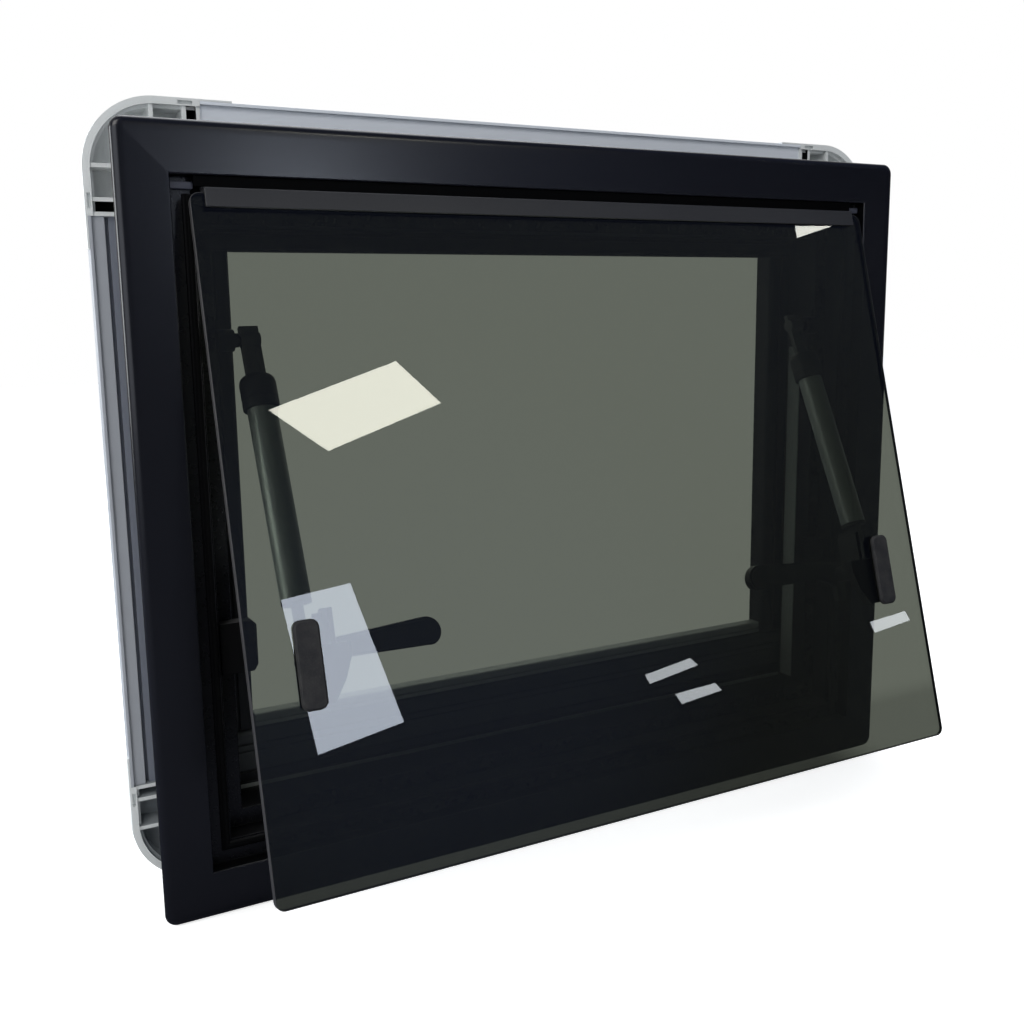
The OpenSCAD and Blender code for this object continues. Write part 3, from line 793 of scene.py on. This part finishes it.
@dataclass(frozen=True)
class Screw:
    """A small pan head screw with a cross recess."""

    radius: float = 0.0027
    height: float = 0.0015
    arm: float = 0.30
    reach: float = 0.62

    def head(self, place: Vector, direction: Vector) -> Mesh:
        """Makes the head, its cross cut into a flat top.

        Args:
            place: Where its seat is.
            direction: Where the head points.

        Returns:
            The mesh in its place.
        """
        r, h, a, b = self.radius, self.height, self.arm / 2, self.reach
        bm = bmesh.new()
        cross = [
            (a, a), (b, a), (b, -a), (a, -a), (a, -b), (-a, -b), (-a, -a), (-b, -a), (-b, a), (-a, a),
            (-a, b), (a, b),
        ]
        cross.sort(key=lambda p: math.atan2(p[1], p[0]))
        angles = [math.atan2(y, x) for x, y in cross]
        rings = [
            [bm.verts.new((x * r * 0.8, y * r * 0.8, h * 0.3)) for x, y in cross],
            [bm.verts.new((x * r, y * r, h)) for x, y in cross],
        ]
        for size, rise in ((0.80, 0.97), (0.93, 0.72), (1.0, 0.35), (1.0, 0.0)):
            rings.append([
                bm.verts.new((r * size * math.cos(t), r * size * math.sin(t), h * rise)) for t in angles
            ])
        bm.faces.new(rings[0])
        count = len(cross)
        for low, high in zip(rings, rings[1:]):
            for i in range(count):
                j = (i + 1) % count
                bm.faces.new((low[i], low[j], high[j], high[i]))
        bm.faces.new(rings[-1])
        bmesh.ops.recalc_face_normals(bm, faces=bm.faces[:])
        return SHOP.moved(bm, facing(direction, place))


@dataclass
class OuterFrame:
    """The four mitred black rails, the seal on their ledge and the hinge track."""

    width: float = 0.612
    height: float = 0.500
    corner: float = 0.008
    ledge_half_w: float = 0.2595
    ledge_half_h: float = 0.2035
    ledge_depth: float = 0.006
    seal_top_cut: float = 0.44245
    corner_steps: int = 8
    # Faces of the side rails' outer edge that take the painted shade.
    shaded_edge_faces: int = 5
    recess_start: float = 0.0313
    back_start: float = 0.03

    def build(self) -> None:
        """Makes the rails, the seal and the track."""
        up, w, h = Matrix.Translation((0, 0, MIDDLE_Z)), self.width / 2, self.height / 2
        for node, length, angle, out in (
            ("outer_bottom", w, 0.0, h), ("outer_top", w, 2 * QUARTER, h),
            ("outer_left", h, QUARTER, w), ("outer_right", h, -QUARTER, w),
        ):
            place = up @ Matrix.Rotation(angle, 4, "Y") @ Matrix.Translation((0, 0, -out))
            SHOP.piece(
                self.rail(length, node in ("outer_left", "outer_right")), node + "_rail", Finishes.FLANGE,
                Body.FRAME.of(), (node,), place, Finishes.BLACK_PAINTED_SHADE, Finishes.LEDGE,
            )
        self.build_seal()
        SHOP.dress(
            "hinge_track", "hinge_track_profile", Finishes.TRACK, Body.FRAME.of(), 0.0003,
        )

    def rail(self, half: float, shade_side_edge: bool) -> Mesh:
        """Makes a mitred rail along X, its outer edge on z = 0 and its body above.

        Args:
            half: Half the length of its outer edge.
            shade_side_edge: Whether its outer edge takes the darker coat, a painted shade.

        Returns:
            A closed mesh whose flange ends in round corners.
        """
        r = self.corner
        flange = [
            (0.0080, 0.0), (0.0005, 0.0), (0.0001, -0.0002), (0.0, -0.0006), (0.00002, -0.0013),
            (0.00025, -0.0020), (0.0008, -0.0027), (0.0016, -0.0033), (0.0026, -0.00378),
            (0.0037, -0.00408), (0.0049, -0.00424), (0.0080, -0.00437),
        ]
        body = [
            (0.0080, -0.00437), (0.03045, -0.00499), (0.03085, -0.00492), (0.03122, -0.0047),
            (0.03143, -0.00437), (0.0315, -0.0040), (0.0315, 0.0055), (0.0320, 0.0060), (0.0460, 0.0060),
            (0.04635, 0.00615), (0.0465, 0.0065), (0.0465, 0.0215), (0.0470, 0.0220), (0.0580, 0.0220),
            (0.05835, 0.02215), (0.0585, 0.0225), (0.0585, 0.0535), (0.0580, 0.0540), (0.0295, 0.0540),
            (0.0290, 0.0535), (0.0290, 0.0004), (0.0294, 0.0), (0.0080, 0.0),
        ]
        bm = bmesh.new()
        steps = self.corner_steps
        turns = [QUARTER / 2 * (1 - i / steps) for i in range(steps + 1)]
        rows = []
        for sign in (-1, 1):
            for angle in turns if sign < 0 else reversed(turns):
                rows.append([
                    bm.verts.new((
                        sign * (half - r + (r - t) * math.sin(angle)), y, r - (r - t) * math.cos(angle),
                    ))
                    for t, y in flange
                ])
        for row, after in zip(rows, rows[1:]):
            for i in range(len(flange) - 1):
                face = bm.faces.new((row[i], row[i + 1], after[i + 1], after[i]))
                # On the side rails the outer rounded edge takes the darker coat as painted shade.
                face.material_index = 1 if shade_side_edge and i < self.shaded_edge_faces else 0
        ends = [[bm.verts.new((sign * (half - t), y, t)) for t, y in body] for sign in (-1, 1)]
        for i in range(len(body) - 1):
            face = bm.faces.new((ends[0][i], ends[0][i + 1], ends[1][i + 1], ends[1][i]))
            # In the recess, inward walls take the painted shade coat and front faces take the painted light
            # ledge coat.
            inside = min(body[i][0], body[i + 1][0]) > self.recess_start
            front = body[i][1] == body[i + 1][1] and body[i][1] < self.back_start
            face.material_index = (2 if front else 1) if inside else 0
        bmesh.ops.remove_doubles(bm, verts=bm.verts[:], dist=1e-6)
        rim = [e for e in bm.edges if len(e.link_faces) == 1]
        bmesh.ops.holes_fill(bm, edges=rim, sides=0)
        bmesh.ops.recalc_face_normals(bm, faces=bm.faces[:])
        return bm

    def build_seal(self) -> None:
        """Makes the bulb seal that runs round the ledge."""
        y = self.ledge_depth
        section = [
            (0.0066, y), (0.0068, y - 0.0006), (0.0064, y - 0.0013), (0.0055, y - 0.0016),
            (0.0050, y - 0.0022), (0.0044, y - 0.0028), (0.0035, y - 0.0030), (0.0025, y - 0.0028),
            (0.0017, y - 0.0023), (0.0012, y - 0.0014), (0.0011, y - 0.0004), (0.0012, y),
        ]
        bm = SHOP.mitred(section, self.ledge_half_w, self.ledge_half_h, MIDDLE_Z)
        cut = bm.verts[:] + bm.edges[:] + bm.faces[:]
        bmesh.ops.bisect_plane(
            bm, geom=cut, plane_co=(0, 0, self.seal_top_cut), plane_no=(0, 0, 1), clear_outer=True,
        )
        open_edges = [e for e in bm.edges if len(e.link_faces) == 1]
        bmesh.ops.holes_fill(bm, edges=open_edges, sides=0)
        bmesh.ops.recalc_face_normals(bm, faces=bm.faces[:])
        SHOP.piece(bm, "bulb_seal", Finishes.RUBBER, Body.FRAME.of(), ("sash_seal",))


@dataclass
class InnerFrame:
    """The clamp frame behind the wall: moulded corners, straight profiles, panels and pull bar."""

    corners: tuple[str, ...] = ("ring_corner_tl", "ring_corner_tr", "ring_corner_bl", "ring_corner_br")
    band_low: float = 0.0560
    ring_half_w: float = 0.3165
    ring_half_h: float = 0.2545
    ring_middle: float = 0.24875
    leg: float = 0.072
    well_depth: tuple[float, float] = (0.0398, 0.0606)
    well_width: tuple[float, float] = (0.0058, 0.0345)
    last_pocket: tuple[float, float] = (0.0628, 0.0702)
    groove_end: float = 0.0112
    step_half_w: float = 0.2475
    step_low: float = 0.04275
    step_high: float = 0.3365

    def build_edging(self) -> None:
        """Makes the slim light edging where the outer frame's step meets the panels: partly a metal edging,
        partly a painted highlight line along the step.
        """
        w, y = self.step_half_w, 0.0540
        strips = [((-w, y - 0.0011, self.step_low - 0.0001), (w, y + 0.0001, self.step_low + 0.0026))]
        for sign in (-1, 1):
            inner, outer = sign * (w - 0.0010), sign * (w + 0.0001)
            strips.append((
                (min(inner, outer), y - 0.0175, self.step_low + 0.0030),
                (max(inner, outer), y - 0.0038, self.step_high),
            ))
        # The edging's light grey is partly a painted highlight line along the step.
        parts = [SHOP.block(low, high, 0.0003) for low, high in strips]
        SHOP.piece(SHOP.join(parts), "step_edging", Finishes.BAR, Body.FRAME.of())

    def profile(self, length: float, tray: float, grooved: bool) -> Mesh:
        """Makes a straight profile along X with its outer edge on z = 0.

        Args:
            length: Its length.
            tray: Width of the tray behind its face.
            grooved: Whether its face has a groove and a lower inner step.

        Returns:
            The mesh, its edges slightly rounded.
        """
        y, web, back, foot, wall = 0.038, 0.058, 0.072, 0.0149, 0.002
        face = [(y + 0.0025, foot), (web, foot)]
        inner = [(web + wall, foot - wall), (y + 0.0045, foot - wall)]
        if grooved:
            edge, ridge, rim = 0.0109, 0.0133, 0.0205
            face = [
                (y + 0.0025, edge), (y + 0.0080, edge), (y + 0.0080, ridge), (y + 0.0040, ridge),
                (y + 0.0040, rim), (web, rim),
            ]
            inner = [
                (web + wall, rim - wall), (y + 0.0060, rim - wall), (y + 0.0060, ridge + wall),
                (y + 0.0100, ridge + wall), (y + 0.0100, edge - wall), (y + 0.0045, edge - wall),
            ]
        outline = [
            (y, 0.0012), (y, 0.0032), (y + 0.0025, 0.0032), *face, (web, tray), (back, tray),
            (back, tray - wall), (web + wall, tray - wall), *inner, (y + 0.0045, 0.0065), (back, 0.0065),
            (back, 0.0045), (y + 0.0060, 0.0045), (y + 0.0060, 0.0012),
        ]
        bm = SHOP.strip(outline, length)
        SHOP.soften(bm, 0.00025)
        if grooved:
            # Faces past the groove take the deeper painted shade.
            for side in bm.faces:
                side.material_index = 1 if side.calc_center_median().z > self.groove_end else 0
        return bm

    def build_profiles(self) -> None:
        """Places the four straight profiles."""
        w, h = self.ring_half_w, self.ring_half_h
        wide, tall = 2 * (w - self.leg), 2 * (h - self.leg)
        mid = Matrix.Translation((0, 0, self.ring_middle))
        for node, out, length, tray, angle, finish in (
            ("ring_bottom", h, wide, 0.0165, 0.0, Finishes.PROFILE_PAINTED_LIGHT),
            ("ring_top", h, wide, 0.034, 2 * QUARTER, Finishes.PROFILE_PAINTED_LIGHT),
            ("ring_left", w, tall, 0.034, QUARTER, Finishes.UPRIGHT_PAINTED_SHADE),
            ("ring_right", w, tall, 0.034, -QUARTER, Finishes.UPRIGHT_PAINTED_SHADE),
        ):
            place = mid @ Matrix.Rotation(angle, 4, "Y") @ Matrix.Translation((0, 0, -out))
            bm = SHOP.moved(self.profile(length, tray, finish is Finishes.UPRIGHT_PAINTED_SHADE), place)
            SHOP.piece(
                bm, node + "_profile", finish, Body.FRAME.of(), (node,), None,
                Finishes.UPRIGHT_DEEP_PAINTED_SHADE,
            )

    def in_well(self, spot: Vector) -> bool:
        """Tells whether a face lies between a corner's rim and its inner wall.

        Args:
            spot: The face's middle.

        Returns:
            True for the floors and walls of its pockets.
        """
        across, up = self.ring_half_w - abs(spot.x), self.ring_half_h - abs(spot.z - self.ring_middle)
        deep = self.well_depth[0] < spot.y < self.well_depth[1]
        return deep and self.well_width[0] < min(across, up) < self.well_width[1]

    def in_pocket(self, spot: Vector) -> bool:
        """Tells whether a face lies inside the last pocket of a corner's leg.

        Args:
            spot: The face's middle.

        Returns:
            True for the pocket's floor and walls.
        """
        across, up = self.ring_half_w - abs(spot.x), self.ring_half_h - abs(spot.z - self.ring_middle)
        return self.in_well(spot) and self.last_pocket[0] < max(across, up) < self.last_pocket[1]

    def build(self) -> None:
        """Makes the corners, the profiles, the panels and the bar."""
        for node in self.corners:
            bm = SHOP.rounded(node, 0.0004)
            for face in bm.faces:
                spot = face.calc_center_median()
                # The lower corners' pocket faces take painted shade, and the upper corners' last pocket takes a
                # painted shadow.
                if spot.z < self.ring_middle:
                    face.material_index = 2 if self.in_well(spot) else 0
                else:
                    face.material_index = 1 if self.in_pocket(spot) else 0
            SHOP.piece(
                bm, node + "_moulding", Finishes.CORNER, Body.FRAME.of(), (node,), None,
                Finishes.CAVITY, Finishes.SHADED,
            )
        self.build_profiles()
        for node in ("panel_top", "panel_bottom", "panel_left", "panel_right"):
            bm = SHOP.rounded(node, 0.0005)
            if node == "panel_bottom":
                for face in bm.faces:
                    face.material_index = 1 if face.calc_center_median().z > self.band_low else 0
            SHOP.piece(
                bm, node + "_housing", Finishes.PANEL, Body.FRAME.of(), (node,), None,
                Finishes.BAND,
            )
        self.build_edging()
        SHOP.dress("blind_bar", "blind_bar_grip", Finishes.BAR, Body.FRAME.of(), 0.0004)


@dataclass
class Fittings:
    """Keepers and stay brackets on the jambs, with their screws."""

    plate_face: float = 0.2450
    screw_y: float = 0.0415
    screw_rise: float = 0.0075
    stop_low: Corner = (0.2600, 0.0014, 0.4450)
    stop_high: Corner = (0.2738, 0.0064, 0.4494)

    def build_screws(self, side: str, sign: float) -> None:
        """Makes the two screws of one bracket.

        Args:
            side: Its name.
            sign: -1 for the left side, 1 for the right one.
        """
        inward = Vector((-sign, 0, 0))
        heads = [
            Screw().head(Vector((sign * self.plate_face, self.screw_y, STAY_TOP.z + z)), inward)
            for z in (self.screw_rise, -self.screw_rise)
        ]
        SHOP.piece(SHOP.join(heads), "jamb_screws_" + side, Finishes.STEEL_DARK, Body.FRAME.of())

    def build_stop(self, side: str, sign: float) -> None:
        """Makes the small end stop of the hinge track in the recess's upper corner; its blue-grey colour is a
        painted highlight.

        Args:
            side: Its name.
            sign: -1 for the left side, 1 for the right one.
        """
        near, far = sorted((sign * self.stop_low[0], sign * self.stop_high[0]))
        bm = SHOP.block((near, *self.stop_low[1:]), (far, *self.stop_high[1:]), 0.0007)
        SHOP.piece(bm, "track_end_stop_" + side, Finishes.STOP_PAINTED_HIGHLIGHT, Body.FRAME.of())

    def build(self) -> None:
        """Makes both sides."""
        for side, sign in SIDES:
            SHOP.dress(
                "keeper_" + side, "keeper_block_" + side, Finishes.KEEPER, Body.FRAME.of(),
                0.0009, 3,
            )
            SHOP.dress(
                "bracket_" + side, "stay_bracket_" + side, Finishes.BLACK_PAINTED_SHADE, Body.FRAME.of(),
                0.0004,
            )
            self.build_screws(side, sign)
            self.build_stop(side, sign)


@dataclass
class Sash:
    """The pane, its hinge rail and the two outside covers."""

    half_w: float = 0.265
    top: float = 0.44015
    height: float = 0.416
    corner: float = 0.006
    arris: float = 0.0005

    def build(self) -> None:
        """Makes the pane, the rail and the covers."""
        self.build_pane()
        sash = Body.SASH.of()
        SHOP.dress("hinge_rail", "hinge_rail_profile", Finishes.RAIL, sash, 0.0003)
        for side, _sign in SIDES:
            SHOP.dress(
                "pad_" + side, "latch_cover_" + side, Finishes.COVER, sash, 0.0009, 3,
            )

    def build_pane(self) -> None:
        """Makes the tempered pane with its rounded corners and ground arrises."""
        bm = bmesh.new()
        bmesh.ops.create_cube(bm, size=1.0)
        bmesh.ops.scale(bm, vec=(2 * self.half_w, PANE_BACK - PANE_FRONT, self.height), verts=bm.verts[:])
        middle = Vector((0, (PANE_BACK + PANE_FRONT) / 2, self.top - self.height / 2))
        bmesh.ops.translate(bm, vec=middle, verts=bm.verts[:])
        across = [e for e in bm.edges if abs((e.verts[0].co - e.verts[1].co).normalized().y) > 0.9]
        bmesh.ops.bevel(
            bm, geom=across, offset=self.corner, offset_type="OFFSET", segments=10, profile=0.5,
            affect="EDGES", clamp_overlap=True, material=-1,
        )
        rim = [e for e in bm.edges if e.calc_face_angle(0.0) > 1.0]
        bmesh.ops.bevel(
            bm, geom=rim, offset=self.arris, offset_type="OFFSET", segments=2, profile=0.5,
            affect="EDGES", clamp_overlap=True, material=-1,
        )
        for face in bm.faces:
            face.material_index = 0 if abs(face.normal.y) > 0.99 else 1
        SHOP.piece(
            bm, "tempered_pane", Finishes.GLASS, Body.SASH.of(), ("glass_pane",), SASH,
            Finishes.EDGE,
        )


@dataclass
class Latch:
    """A latch on the inside of the pane with its turning lever."""

    side: str
    spindle_x: float = 0.2165
    neck_rise: float = 0.0036
    neck_start: float = 0.012
    neck_end: float = 0.088
    climb: float = 0.022
    descent: float = 0.030

    def raise_neck(self, bm: Mesh) -> None:
        """Bends the lever's neck upwards between the hub and the grip.

        Args:
            bm: The lever's mesh.
        """
        up = SASH.to_3x3() @ Vector((0.0, 0.0, 1.0))
        for vert in bm.verts:
            reach = self.spindle_x - abs(vert.co.x)
            grow = min(max((reach - self.neck_start) / self.climb, 0.0), 1.0)
            fall = min(max((self.neck_end - reach) / self.descent, 0.0), 1.0)
            share = grow * grow * (3 - 2 * grow) * fall * fall * (3 - 2 * fall)
            vert.co += up * (self.neck_rise * share)

    def build(self) -> None:
        """Makes the latch body and the lever."""
        side = self.side
        SHOP.dress(
            "latch_" + side, "latch_housing_" + side, Finishes.NYLON, Body.SASH.of(),
            0.0008, 3,
        )
        bm = SHOP.rounded("lever_" + side, 0.0010, 3)
        self.raise_neck(bm)
        SHOP.piece(
            bm, "turning_lever_" + side, Finishes.NYLON, Body.LEVER.of(side),
            ("lever_" + side,),
        )


@dataclass
class Stay:
    """A telescopic stay: rod, tube, collar and foot."""

    side: str
    sign: float
    tube_radius: float = 0.00925
    bore: float = 0.0075
    collar_radius: float = 0.0115
    collar_top: float = 0.0255
    collar_height: float = 0.022
    cap: float = 0.004
    foot_length: float = 0.0124

    def build(self) -> None:
        """Makes the four pieces of the stay."""
        side = self.side
        rod, tube = Body.ROD.of(side), Body.TUBE.of(side)
        SHOP.dress("rod_" + side, "flat_rod_" + side, Finishes.ROD, rod, 0.0004)
        self.build_tube()
        self.build_collar()
        SHOP.dress("foot_" + side, "stay_foot_" + side, Finishes.NYLON, tube, 0.0005)

    def build_tube(self) -> None:
        """Turns the anodised tube with its rolled ends."""
        end = -(STAY_LENGTH - self.foot_length)
        top = -(self.collar_top + self.cap)
        r, b = self.tube_radius, self.bore
        bm = SHOP.turning([(b, end), (r - 0.0004, end), (r, end + 0.0004), (r, top), (b, top)])
        SHOP.piece(
            bm, "stay_tube_" + self.side, Finishes.TUBE, Body.TUBE.of(self.side),
            ("tube_" + self.side,), stay_matrix(self.sign),
        )

    def build_collar(self) -> None:
        """Turns the collar that grips the tube's mouth."""
        top = -self.collar_top
        low = top - self.collar_height
        r, b, t = self.collar_radius, self.bore, self.tube_radius
        groove = low + self.collar_height / 4
        bm = SHOP.turning([
            (t, low), (r - 0.0008, low), (r - 0.0002, low + 0.0003), (r, low + 0.0010), (r, groove),
            (r - 0.00075, groove + 0.0001), (r - 0.00075, groove + 0.0014), (r, groove + 0.0015),
            (r, top - 0.0052), (r - 0.0003, top - 0.0034), (r - 0.0010, top - 0.0017),
            (r - 0.0020, top - 0.0006), (r - 0.0032, top), (b, top), (b, top - self.cap), (t, top - self.cap),
        ])
        SHOP.piece(
            bm, "stay_collar_" + self.side, Finishes.NYLON, Body.TUBE.of(self.side),
            ("collar_" + self.side,), stay_matrix(self.sign),
        )


# Studio


@dataclass
class Studio:
    """The floor, the lamps, the reflected light panels, the world and the camera."""

    floor_z: float = -0.0159
    floor_size: float = 6.0
    eye: Vector = field(default_factory=lambda: Vector((-0.4141, -0.6856, 0.37245)))
    yaw: float = math.radians(27.98)
    pitch: float = math.radians(9.69)
    roll: float = math.radians(-0.82)
    focal_px: float = 1108.7
    centre_px: tuple[float, float] = (511.8, 498.1)
    frame_px: float = 1024.0
    sensor: float = 36.0
    wall_y: float = -3.2
    ceiling_z: float = 2.6
    low_room: Rgb = (0.008, 0.010, 0.020)
    high_room: Rgb = (0.085, 0.105, 0.19)
    haze: Rgb = (0.075, 0.10, 0.205)
    haze_way: Corner = (0.36, -0.914, 0.175)
    pale: Rgb = (0.9, 0.9, 0.9)
    dim: Rgb = (0.12, 0.13, 0.17)

    def build(self) -> None:
        """Sets the whole studio."""
        self.build_world()
        self.build_floor()
        self.build_lamps()
        self.build_cards()
        self.build_camera()
        bpy.context.scene.view_settings.view_transform = "Standard"

    def build_world(self) -> None:
        """Makes the pale surround: white to the eye and through glass, dim in gloss from the front."""
        world = bpy.data.worlds.new("pale_surround")
        bpy.context.scene.world = world
        world.use_nodes = True
        world.node_tree.nodes.clear()
        b = Bench(world.node_tree)
        path, place = b.node("LightPath").outputs, b.node("TexCoord").outputs["Generated"]
        split = b.node("SeparateXYZ", {0: place}).outputs
        near = b.node("VectorMath", {0: place, 1: self.haze_way}, operation="DOT_PRODUCT")
        room = b.blend(b.eased(split["Z"], -0.1, 0.9), self.low_room, self.high_room)
        haze = b.blend(b.eased(near.outputs["Value"], 0.945, 1.0), room, self.haze)
        whole = b.blend(b.eased(split["Y"], -0.05, 0.35), haze, self.pale)
        soft, gloss, white = [
            b.node("Background", {"Color": colour, "Strength": strength}).outputs[0]
            for colour, strength in (((0.93, 0.96, 1.0, 1.0), 0.45), (whole, 1.0), ((1.0, 1.0, 1.0, 1.0), 1.0))
        ]
        seen = b.math("MAXIMUM", path["Is Camera Ray"], path["Is Transmission Ray"])
        last = b.choose(seen, b.choose(path["Is Glossy Ray"], soft, gloss), white)
        b.node("OutputWorld", {"Surface": last})

    def staged(self, bm: Mesh, name: str, material: bpy.types.Material) -> bpy.types.Object:
        """Turns a bmesh into an object of the studio, which isn't part of the window.

        Args:
            bm: The mesh; it is freed.
            name: The object's name.
            material: Its material.

        Returns:
            The new object.
        """
        mesh = bpy.data.meshes.new(name)
        bm.to_mesh(mesh)
        bm.free()
        mesh.materials.append(material)
        obj = bpy.data.objects.new(name, mesh)
        bpy.context.scene.collection.objects.link(obj)
        return obj

    def blank(self, name: str) -> tuple[bpy.types.Material, Bench]:
        """Makes an empty material.

        Args:
            name: Its name.

        Returns:
            The material and the bench of its nodes.
        """
        material = bpy.data.materials.new(name)
        material.use_nodes = True
        material.node_tree.nodes.clear()
        return material, Bench(material.node_tree)

    def build_floor(self) -> None:
        """Makes the plain white floor, which keeps the window's shadow; seen through glass it glows with a
        painted shadow under the window.
        """
        bm = bmesh.new()
        bmesh.ops.create_grid(bm, x_segments=1, y_segments=1, size=self.floor_size)
        bmesh.ops.translate(bm, vec=(0, 0, self.floor_z), verts=bm.verts[:])
        material, b = self.blank("pale_floor")
        path, place = b.node("LightPath").outputs, b.node("TexCoord").outputs["Object"]
        split = b.node("SeparateXYZ", {0: place}).outputs
        # Through glass the floor's glow is a painted shadow: 0.2 under the window, full behind it, 0.73 beside
        # it.
        shade = b.eased(split["Y"], 0.0, 0.11)
        beside = b.eased(b.math("ABSOLUTE", split["X"]), 0.24, 0.32, 0.66)
        level = b.node("MapRange", {"Value": b.math("MAXIMUM", shade, beside), "To Min": 0.2})
        paint, dim = [
            b.node("BsdfDiffuse", {"Color": (*colour, 1.0)}).outputs[0] for colour in (self.pale, self.dim)
        ]
        none, glow, white = [
            b.node("Emission", {"Strength": strength}).outputs[0]
            for strength in (0.0, 0.62, level.outputs["Result"])
        ]
        lit = b.choose(path["Is Camera Ray"], none, glow)
        near = b.choose(path["Is Glossy Ray"], b.node("AddShader", {0: paint, 1: lit}).outputs[0], dim)
        b.node("OutputMaterial", {"Surface": b.choose(path["Is Transmission Ray"], near, white)})
        self.staged(bm, "studio_floor", material)

    def build_lamps(self) -> None:
        """Hangs the soft lamps, clear of the pane's mirror field."""
        self.lamp("key_softbox", Vector((-1.5, -1.6, 2.0)), 1.2, 20.0, (1.0, 0.98, 0.95))
        self.lamp("top_softbox", Vector((0.3, 0.6, 2.2)), 1.6, 22.0, (0.93, 0.96, 1.0))
        self.lamp("back_softbox", Vector((0.6, 1.9, 0.9)), 1.4, 9.0, (1.0, 1.0, 1.0))
        self.lamp("side_softbox", Vector((-1.5, 0.15, 0.55)), 0.7, 12.0, (0.95, 0.98, 1.0))

    def lamp(self, name: str, place: Vector, size: float, power: float, colour: Rgb) -> None:
        """Hangs one square lamp that looks at the window's middle.

        Args:
            name: Its name.
            place: Where it hangs.
            size: Its side, in metres.
            power: Its power, in watts.
            colour: Its colour.
        """
        data = bpy.data.lights.new(name, "AREA")
        data.shape = "SQUARE"
        data.size = size
        data.energy = power
        data.color = colour
        lamp = bpy.data.objects.new(name, data)
        aim = Vector((0.0, 0.0, MIDDLE_Z)) - place
        lamp.matrix_world = facing(-aim.normalized(), place)
        lamp.visible_camera = False
        lamp.visible_transmission = False
        bpy.context.scene.collection.objects.link(lamp)

    def build_cards(self) -> None:
        """Hangs the light panels that only gloss sees."""
        day, strip = (0.78, 0.86, 1.0), (0.9, 0.95, 1.0)
        for name, colour, strength, corners in (
            ("day_panel", day, 11.0, ((0.647, 1.082), (0.911, 1.110), (0.995, 0.576), (0.667, 0.523))),
            ("strip_one", strip, 9.0, ((2.028, 0.572), (2.262, 0.603), (2.29, 0.569), (2.039, 0.533))),
            ("strip_two", strip, 9.0, ((2.14, 0.474), (2.344, 0.484), (2.367, 0.45), (2.158, 0.43))),
            ("strip_three", strip, 9.0, ((3.267, 0.607), (3.496, 0.625), (3.505, 0.58), (3.272, 0.554))),
        ):
            self.card(name, [(x, self.wall_y, z) for x, z in corners], colour, strength)
        for name, colour, strength, corners in (
            ("ceiling_panel", (1.0, 0.99, 0.86), 16.0,
             ((1.242, -4.819), (1.817, -4.311), (2.283, -4.855), (1.75, -5.442))),
            ("second_ceiling_panel", (1.0, 1.0, 0.92), 14.0,
             ((3.544, -3.028), (3.785, -3.019), (3.639, -3.13))),
        ):
            self.card(name, [(x, y, self.ceiling_z) for x, y in corners], colour, strength)
        side = [(-3.4, -1.9, -0.4), (-1.15, -3.2, -0.4), (-1.15, -3.2, 1.7), (-3.4, -1.9, 1.7)]
        self.card("side_panel", side, (0.86, 0.90, 1.0), 1.7)

    def card(self, name: str, corners: list[Corner], colour: Rgb, strength: float) -> None:
        """Hangs one glowing panel that only gloss sees.

        Args:
            name: Its name.
            corners: Its corners.
            colour: Its colour.
            strength: Its strength.
        """
        bm = bmesh.new()
        bm.faces.new([bm.verts.new(corner) for corner in corners])
        material, b = self.blank(name)
        glow = b.node("Emission", {"Color": (*colour, 1.0), "Strength": strength})
        b.node("OutputMaterial", {"Surface": glow.outputs[0]})
        card = self.staged(bm, name, material)
        card.visible_camera = False
        card.visible_diffuse = False
        card.visible_transmission = False
        card.visible_shadow = False

    def build_camera(self) -> None:
        """Sets the camera at the photograph's viewing angle."""
        flip = Matrix(((1, 0, 0), (0, 0, -1), (0, 1, 0)))
        turn = (
            Matrix.Rotation(self.roll, 3, "Z") @ Matrix.Rotation(self.pitch, 3, "X") @ flip
            @ Matrix.Rotation(self.yaw, 3, "Z")
        )
        right, down, ahead = turn[0], turn[1], turn[2]
        matrix = Matrix((right, -down, -ahead)).transposed().to_4x4()
        matrix.translation = self.eye
        middle = self.frame_px / 2
        data = bpy.data.cameras.new("camera")
        data.sensor_width = self.sensor
        data.lens = self.focal_px * self.sensor / self.frame_px
        data.shift_x = (middle - self.centre_px[0]) / self.frame_px
        data.shift_y = (self.centre_px[1] - middle) / self.frame_px
        data.clip_start = 0.02
        camera = bpy.data.objects.new("camera", data)
        camera.matrix_world = matrix
        bpy.context.scene.collection.objects.link(camera)
        bpy.context.scene.camera = camera


def main() -> None:
    """Builds the window and its studio."""
    logging.basicConfig(level=logging.INFO, format="%(message)s")
    Studio().build()
    OuterFrame().build()
    InnerFrame().build()
    Fittings().build()
    Sash().build()
    for side, sign in SIDES:
        Latch(side).build()
        Stay(side, sign).build()
    LOG.info("%d pieces made", SHOP.count)


if __name__ == "__main__":
    main()
